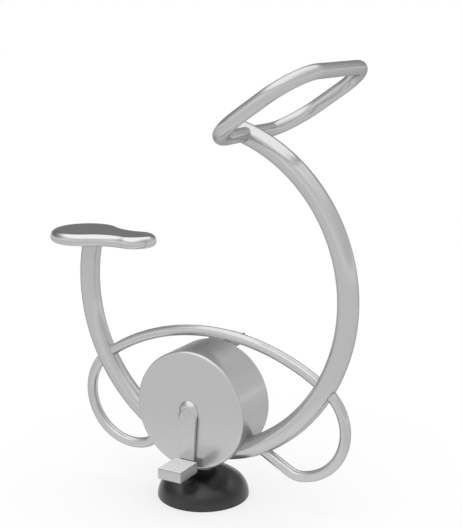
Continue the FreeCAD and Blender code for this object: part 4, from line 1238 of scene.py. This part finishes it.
class BIKE_OT_drum(bpy.types.Operator):
    """Make the drum, its screwed cover and the cover's screws"""
    bl_idname = "bike.drum"
    bl_label = "Drum"

    def execute(self, context):
        sizes = context.scene.bike_drive
        self.make_shell(sizes)
        self.make_cover(sizes)
        self.make_screws(sizes)
        return {"FINISHED"}

    def make_shell(self, sizes):
        near = DRUM_LOW.y
        far = DRUM_HIGH.y
        inside = DRUM_RADIUS - sizes.drum_wall
        bend = sizes.drum_round
        inner_bend = bend - sizes.drum_wall
        profile = [(sizes.seal_radius, near)]
        profile += corner_round((DRUM_RADIUS - bend, near + bend), bend, 270, 360, 12)
        profile += [(DRUM_RADIUS, far - sizes.seam), (DRUM_RADIUS - sizes.seam, far), (inside, far)]
        profile += corner_round((inside - inner_bend, near + bend), inner_bend, 360, 270, 6)
        profile += [(sizes.seal_radius, near + sizes.drum_wall)]
        profile = held(profile, closed=True)
        turned_piece("drum", profile, along_axle(), DRUM_SIDES, "drum_silver", "drum_shell")

    def make_cover(self, sizes):
        near = COVER_LOW.y
        far = COVER_HIGH.y
        bend = sizes.cover_round
        profile = [(sizes.seal_radius, near), (DRUM_RADIUS - sizes.seam, near)]
        profile += corner_round((DRUM_RADIUS - bend, far - bend), bend, 0, 90, 6)
        profile += [(sizes.seal_radius, far)]
        profile = held(profile, closed=True)
        turned_piece("drum_back", profile, along_axle(), DRUM_SIDES, "drum_silver", "drum_cover")

    def make_screws(self, sizes):
        """Low rounded heads with a six-sided socket, on a circle."""
        sides = 24
        socket = 0.45 * sizes.screw_radius
        radius = sizes.screw_radius
        bm = bmesh.new()
        rings = []
        sunk = 0.0004
        edge = 0.0002
        shoulder = 0.0007
        top = 0.0010
        depth = 0.0008
        dome = [(radius, -sunk), (radius, edge), (0.93 * radius, shoulder), (0.72 * radius, top)]
        hexagon = [(1.08 * socket, top), (socket, top - edge), (socket, -depth)]
        for size, height in dome + hexagon:
            ring = []
            for number in range(sides):
                angle = FULL_TURN * number / sides
                corner = (angle + HALF_TURN / 6) % (HALF_TURN / 3) - HALF_TURN / 6
                flat = math.cos(HALF_TURN / 6) / math.cos(corner) if len(rings) >= len(dome) else 1.0
                reach = size * flat
                ring.append(bm.verts.new((reach * math.cos(angle), reach * math.sin(angle), height)))
            rings.append(ring)
        close_rings(bm, rings)
        bmesh.ops.recalc_face_normals(bm, faces=bm.faces)
        mesh = ring_recipe().run("cover_screw_heads", as_mesh("screw_head", bm), {
            "Count": sizes.screw_count, "Circle radius": sizes.screw_circle,
            "Start": HALF_TURN / sizes.screw_count, "Side": COVER_HIGH.y, "Height": AXLE_HEIGHT,
            "Seed": 4, "Finish": finish_for("fastener_steel")})
        shade_smooth(mesh, sharp=35)
        link_piece("cover_screw_heads", mesh, "frame", ["cover_screws"])


class BIKE_OT_base(bpy.types.Operator):
    """Make the rubber dome and the neck that stands in it"""
    bl_idname = "bike.base"
    bl_label = "Base"

    def execute(self, context):
        sizes = context.scene.bike_drive
        level = Matrix.Identity(4)
        turned_piece("dome", self.dome_profile(sizes), level, DOME_SIDES, "dome_black", "base_cover")
        wall = 0.004
        clear_of_spine = 0.01
        outer = sizes.neck_radius
        inner = outer - wall
        top = AXLE_HEIGHT - context.scene.bike_tubes.spine_drop - clear_of_spine
        profile = [(outer, NECK_LOW.z), (outer, top), (inner, top), (inner, NECK_LOW.z)]
        profile = held(profile, closed=True)
        turned_piece("neck", profile, level, SPINE_SIDES, "frame_silver", "neck_tube")
        return {"FINISHED"}

    def dome_profile(self, sizes):
        """Upright lip, shoulder and crown outside; the same at the wall's depth inside."""
        neck_gap = 0.0005
        hole = NECK_HIGH.x + neck_gap
        shoulder = sizes.dome_shoulder
        across = DOME_RADIUS - shoulder
        rise = sizes.dome_height - sizes.dome_lip
        crown = (across ** 2 + rise ** 2 - shoulder ** 2) / (2 * (rise - shoulder))
        middle = sizes.dome_height - crown
        lean = math.atan2(sizes.dome_lip - middle, across)
        shoulder_steps = 14
        crown_steps = 24

        def side(depth):
            last = math.acos(hole / (crown - depth))
            points = arc_points((across, sizes.dome_lip), shoulder - depth, 0.0, lean, shoulder_steps)
            return points + arc_points((0.0, middle), crown - depth, lean, last, crown_steps)[1:]

        outer = side(0.0)
        inner = side(sizes.dome_wall)
        edge = 0.0012
        foot_bend = edge * 0.3
        rim_fall = edge * 0.15
        foot = [(DOME_RADIUS - edge, 0.0), (DOME_RADIUS - foot_bend, foot_bend), (DOME_RADIUS, edge)]
        lip = outer.pop()
        rim = [(lip[0] + edge, lip[1] - rim_fall), (lip[0], lip[1] - edge)]
        return [(DOME_RADIUS - sizes.dome_wall, 0.0)] + foot + outer + rim + inner[::-1]


class BIKE_OT_cranks(bpy.types.Operator):
    """Make the two crank arms with their caps"""
    bl_idname = "bike.cranks"
    bl_label = "Cranks"

    def execute(self, context):
        sizes = context.scene.bike_drive
        for name, side in (("right", -1), ("left", 1)):
            bm = bmesh.new()
            self.make_arm(bm, sizes, side)
            finish_piece(name + "_crank_arm", bm, "crank", "crank_silver",
                         [name + "_crank", name + "_crank_cap"])
        return {"FINISHED"}

    def outline(self, reach, head, toe, steps=40, runs=24):
        """Points round the tapered arm: way across, way along, place along and radius, from the head on."""
        lean = math.asin((head - toe) / reach)
        round_head = (0.0, reach, -lean, HALF_TURN + 2 * lean)
        round_toe = (reach, 0.0, HALF_TURN + lean, HALF_TURN - 2 * lean)
        rows = []
        for first, last, start, sweep in (round_head, round_toe):
            places = [(start + sweep * number / steps, first) for number in range(steps)]
            places += [(start + sweep, first + (last - first) * number / runs) for number in range(runs)]
            for angle, at in places:
                rows.append((math.cos(angle), -math.sin(angle), at, head + (toe - head) * at / reach))
        return rows

    def make_arm(self, bm, sizes, side):
        inner = -CRANK_HIGH.y
        thick = CRANK_HIGH.y - CRANK_LOW.y
        rows = self.outline(sizes.crank_reach, CRANK_HIGH.x, PEDAL_HEIGHT - CRANK_LOW.z)
        edge_steps = 14
        circle_steps = 40
        lip = 0.0004
        inner_edge = ((0.0006, 0.0), (0.0002, 0.0001), (0.0, lip))
        dome_power = 1.6
        spindle_hole = 0.0083
        hub_depth = 0.003
        groove_floor = thick - 0.0006
        cap_edge = 0.0002
        cap_flat = 0.6 * sizes.cap_radius

        def place(across, along, out):
            return bm.verts.new((across, side * (inner + out), AXLE_HEIGHT + side * along))

        def head_share(at):
            share = max(0.0, 1.0 - at / sizes.head_run)
            return share ** 2 * (3 - 2 * share)

        def low_ring(inset, out):
            points = []
            for x, z, at, radius in rows:
                width = radius - inset
                points.append(place(width * x, at + width * z, out - sizes.head_drop * head_share(at)))
            return points

        def edge_ring(part):
            """A ring on the outer edge's round, which swells to a dome round the head."""
            points = []
            bend = sizes.crank_round
            for x, z, at, radius in rows:
                head = head_share(at)
                inset = bend * (1 - math.cos(QUARTER_TURN * part))
                sink = bend * (1 - math.sin(QUARTER_TURN * part))
                inset += head * (sizes.head_slope * part - inset)
                sink += head * ((thick + sizes.head_drop - lip) * (1 - part) ** dome_power - sink)
                width = radius - inset
                points.append(place(width * x, at + width * z, thick - sink))
            return points

        def circle(radius, along, out):
            points = arc_points((0.0, along), radius, 0.0, FULL_TURN, circle_steps)[:-1]
            return [place(across, up, out) for across, up in points]

        rings = [low_ring(inset, out) for inset, out in inner_edge]
        rings += [edge_ring(number / edge_steps) for number in range(edge_steps + 1)]
        connect_all(bm, rings)
        through = [circle(spindle_hole, sizes.crank_reach, out) for out in (0.0, thick)]
        hub = [circle(sizes.hub_radius, 0.0, out) for out in (-sizes.head_drop, hub_depth)]
        connect(bm, *through)
        connect(bm, *hub)
        bm.faces.new(hub[1])
        outside = sizes.cap_radius + sizes.cap_groove
        inside = sizes.cap_radius
        cap = [(outside, thick), (outside, groove_floor), (inside, groove_floor),
               (inside, thick - cap_edge), (inside - cap_edge, thick), (cap_flat, thick)]
        cap_rings = [circle(radius, 0.0, out) for radius, out in cap]
        connect_all(bm, cap_rings)
        bm.faces.new(cap_rings[-1])
        flat_face(bm, rings[0], [through[0], hub[0]])
        flat_face(bm, rings[-1], [through[1], cap_rings[0]])


class BIKE_OT_pedals(bpy.types.Operator):
    """Make the two pedals with grooved treads"""
    bl_idname = "bike.pedals"
    bl_label = "Pedals"

    def execute(self, context):
        sizes = context.scene.bike_drive
        for name, side in (("right", -1), ("left", 1)):
            bm = bmesh.new()
            self.make_block(bm, sizes, side)
            finish_piece(name + "_pedal_block", bm, name + "_pedal", "pedal_silver", [name + "_pedal_body"])
        return {"FINISHED"}

    def section(self, sizes, reach, half):
        """Points round the section: core out, core up, way out and way up, from the inner face on."""
        bend = sizes.pedal_round
        points = []
        groove = ((-0.8, 0.15), (-0.2, 1.0), (0.2, 1.0), (0.8, 0.15))
        beside_groove = 1.3

        def corner(out, up, start):
            points.extend((out, up, x, y) for x, y in corner_round((0.0, 0.0), 1.0, start, start - 90, 6))

        def treads(sign):
            spots = [reach / 2 + (number - (sizes.groove_count - 1) / 2) * sizes.groove_pitch
                     for number in range(sizes.groove_count)]
            lip = sizes.groove_width / 2
            deep = sizes.groove_depth
            for spot in spots[::sign]:
                points.append((spot - sign * beside_groove * lip, sign * (half - bend), 0.0, sign))
                for part, sink in groove:
                    points.append((spot + sign * part * lip, sign * (half - sink * deep), 0.0, 0.0))
                points.append((spot + sign * beside_groove * lip, sign * (half - bend), 0.0, sign))

        corner(bend, half - bend, 180)
        treads(1)
        corner(reach - bend, half - bend, 90)
        corner(reach - bend, bend - half, 0)
        treads(-1)
        corner(bend, bend - half, -90)
        return points

    def make_block(self, bm, sizes, side):
        inner = -PEDAL_HIGH.y
        reach = PEDAL_HIGH.y - PEDAL_LOW.y
        half = (PEDAL_HIGH.z - PEDAL_LOW.z) / 2
        depth = (PEDAL_HIGH.x - PEDAL_LOW.x) / 2
        axis = AXLE_HEIGHT + side * (AXLE_HEIGHT - PEDAL_HEIGHT)
        bend = sizes.pedal_round

        def place(x, out, up):
            return bm.verts.new((x, side * (inner + out), axis + side * up))

        steps = 8
        flat_margin = 0.0006
        keeper_gap = 0.0002
        stations = []
        for number in range(steps + 1):
            angle = QUARTER_TURN * (1 - number / steps)
            stations.append((depth - bend + bend * math.sin(angle), bend * (1 - math.cos(angle))))
        stations.append((depth - bend - flat_margin, 0.0))
        stations += [(-x, inset) for x, inset in stations[::-1]]
        rings = []
        for x, inset in stations:
            ring = []
            for out, up, way_out, way_up in self.section(sizes, reach, half):
                level = up + way_up * (bend - inset)
                level = max(inset - half, min(half - inset, level))
                ring.append(place(x, out + way_out * (bend - inset), level))
            rings.append(ring)
        flat = None
        for first, second, low, high in zip(rings, rings[1:], stations, stations[1:]):
            for number in range(len(first) - 1):
                bm.faces.new([first[number], first[number + 1], second[number + 1], second[number]])
            if low[1] == high[1] == 0.0 and abs(low[0] - high[0]) > depth:
                flat = [first[0], second[0], second[-1], first[-1]]
            else:
                bm.faces.new([first[0], second[0], second[-1], first[-1]])
        bm.faces.new(rings[0])
        bm.faces.new(rings[-1])
        wide = KEEPER_HIGH.x + keeper_gap
        tall = (KEEPER_HIGH.z - KEEPER_LOW.z) / 2 + keeper_gap
        deep = KEEPER_HIGH.y - KEEPER_LOW.y + keeper_gap
        corners = [(-wide, -tall), (wide, -tall), (wide, tall), (-wide, tall)]
        mouth = [place(x, 0.0, up) for x, up in corners]
        floor = [place(x, deep, up) for x, up in corners]
        connect(bm, mouth, floor)
        bm.faces.new(floor)
        flat_face(bm, flat, [mouth])


class BIKE_OT_fittings(bpy.types.Operator):
    """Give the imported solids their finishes"""
    bl_idname = "bike.fittings"
    bl_label = "Fittings"

    def execute(self, context):
        for name, piece in frame["nodes"].items():
            material = finish_for(SLOTS[name])
            if not piece.material_slots:
                piece.data.materials.append(material)
            for slot in piece.material_slots:
                slot.material = material
        return {"FINISHED"}


class BIKE_PT_panel(bpy.types.Panel):
    """Lists the bike's pieces and their sizes"""
    bl_idname = "BIKE_PT_panel"
    bl_label = "Exercise bike"
    bl_space_type = "VIEW_3D"
    bl_region_type = "UI"
    bl_category = "Bike"

    def draw(self, context):
        for maker in OPERATORS:
            self.layout.operator(maker.bl_idname)
        for group in GROUPS:
            box = self.layout.box()
            settings = getattr(context.scene, group)
            for name in settings.bl_rna.properties.keys():
                if name not in ("rna_type", "name"):
                    box.prop(settings, name)


GROUPS = {
    "bike_tubes": TubeSizes,
    "bike_saddle": SaddleSizes,
    "bike_drive": DriveSizes,
    "bike_colours": FinishColours,
    "bike_stage": StageSettings,
}
OPERATORS = (BIKE_OT_stage, BIKE_OT_tubes, BIKE_OT_welds, BIKE_OT_saddle, BIKE_OT_drum, BIKE_OT_base,
             BIKE_OT_cranks, BIKE_OT_pedals, BIKE_OT_fittings)


def register():
    for group in GROUPS.values():
        bpy.utils.register_class(group)
    for maker in OPERATORS:
        bpy.utils.register_class(maker)
    bpy.utils.register_class(BIKE_PT_panel)
    for name, group in GROUPS.items():
        setattr(bpy.types.Scene, name, bpy.props.PointerProperty(type=group))


def unregister():
    for name in GROUPS:
        delattr(bpy.types.Scene, name)
    bpy.utils.unregister_class(BIKE_PT_panel)
    for maker in OPERATORS:
        bpy.utils.unregister_class(maker)
    for group in GROUPS.values():
        bpy.utils.unregister_class(group)


def main():
    register()
    for maker in OPERATORS:
        section, action = maker.bl_idname.split(".")
        getattr(getattr(bpy.ops, section), action)()


if __name__ == "__main__":
    main()
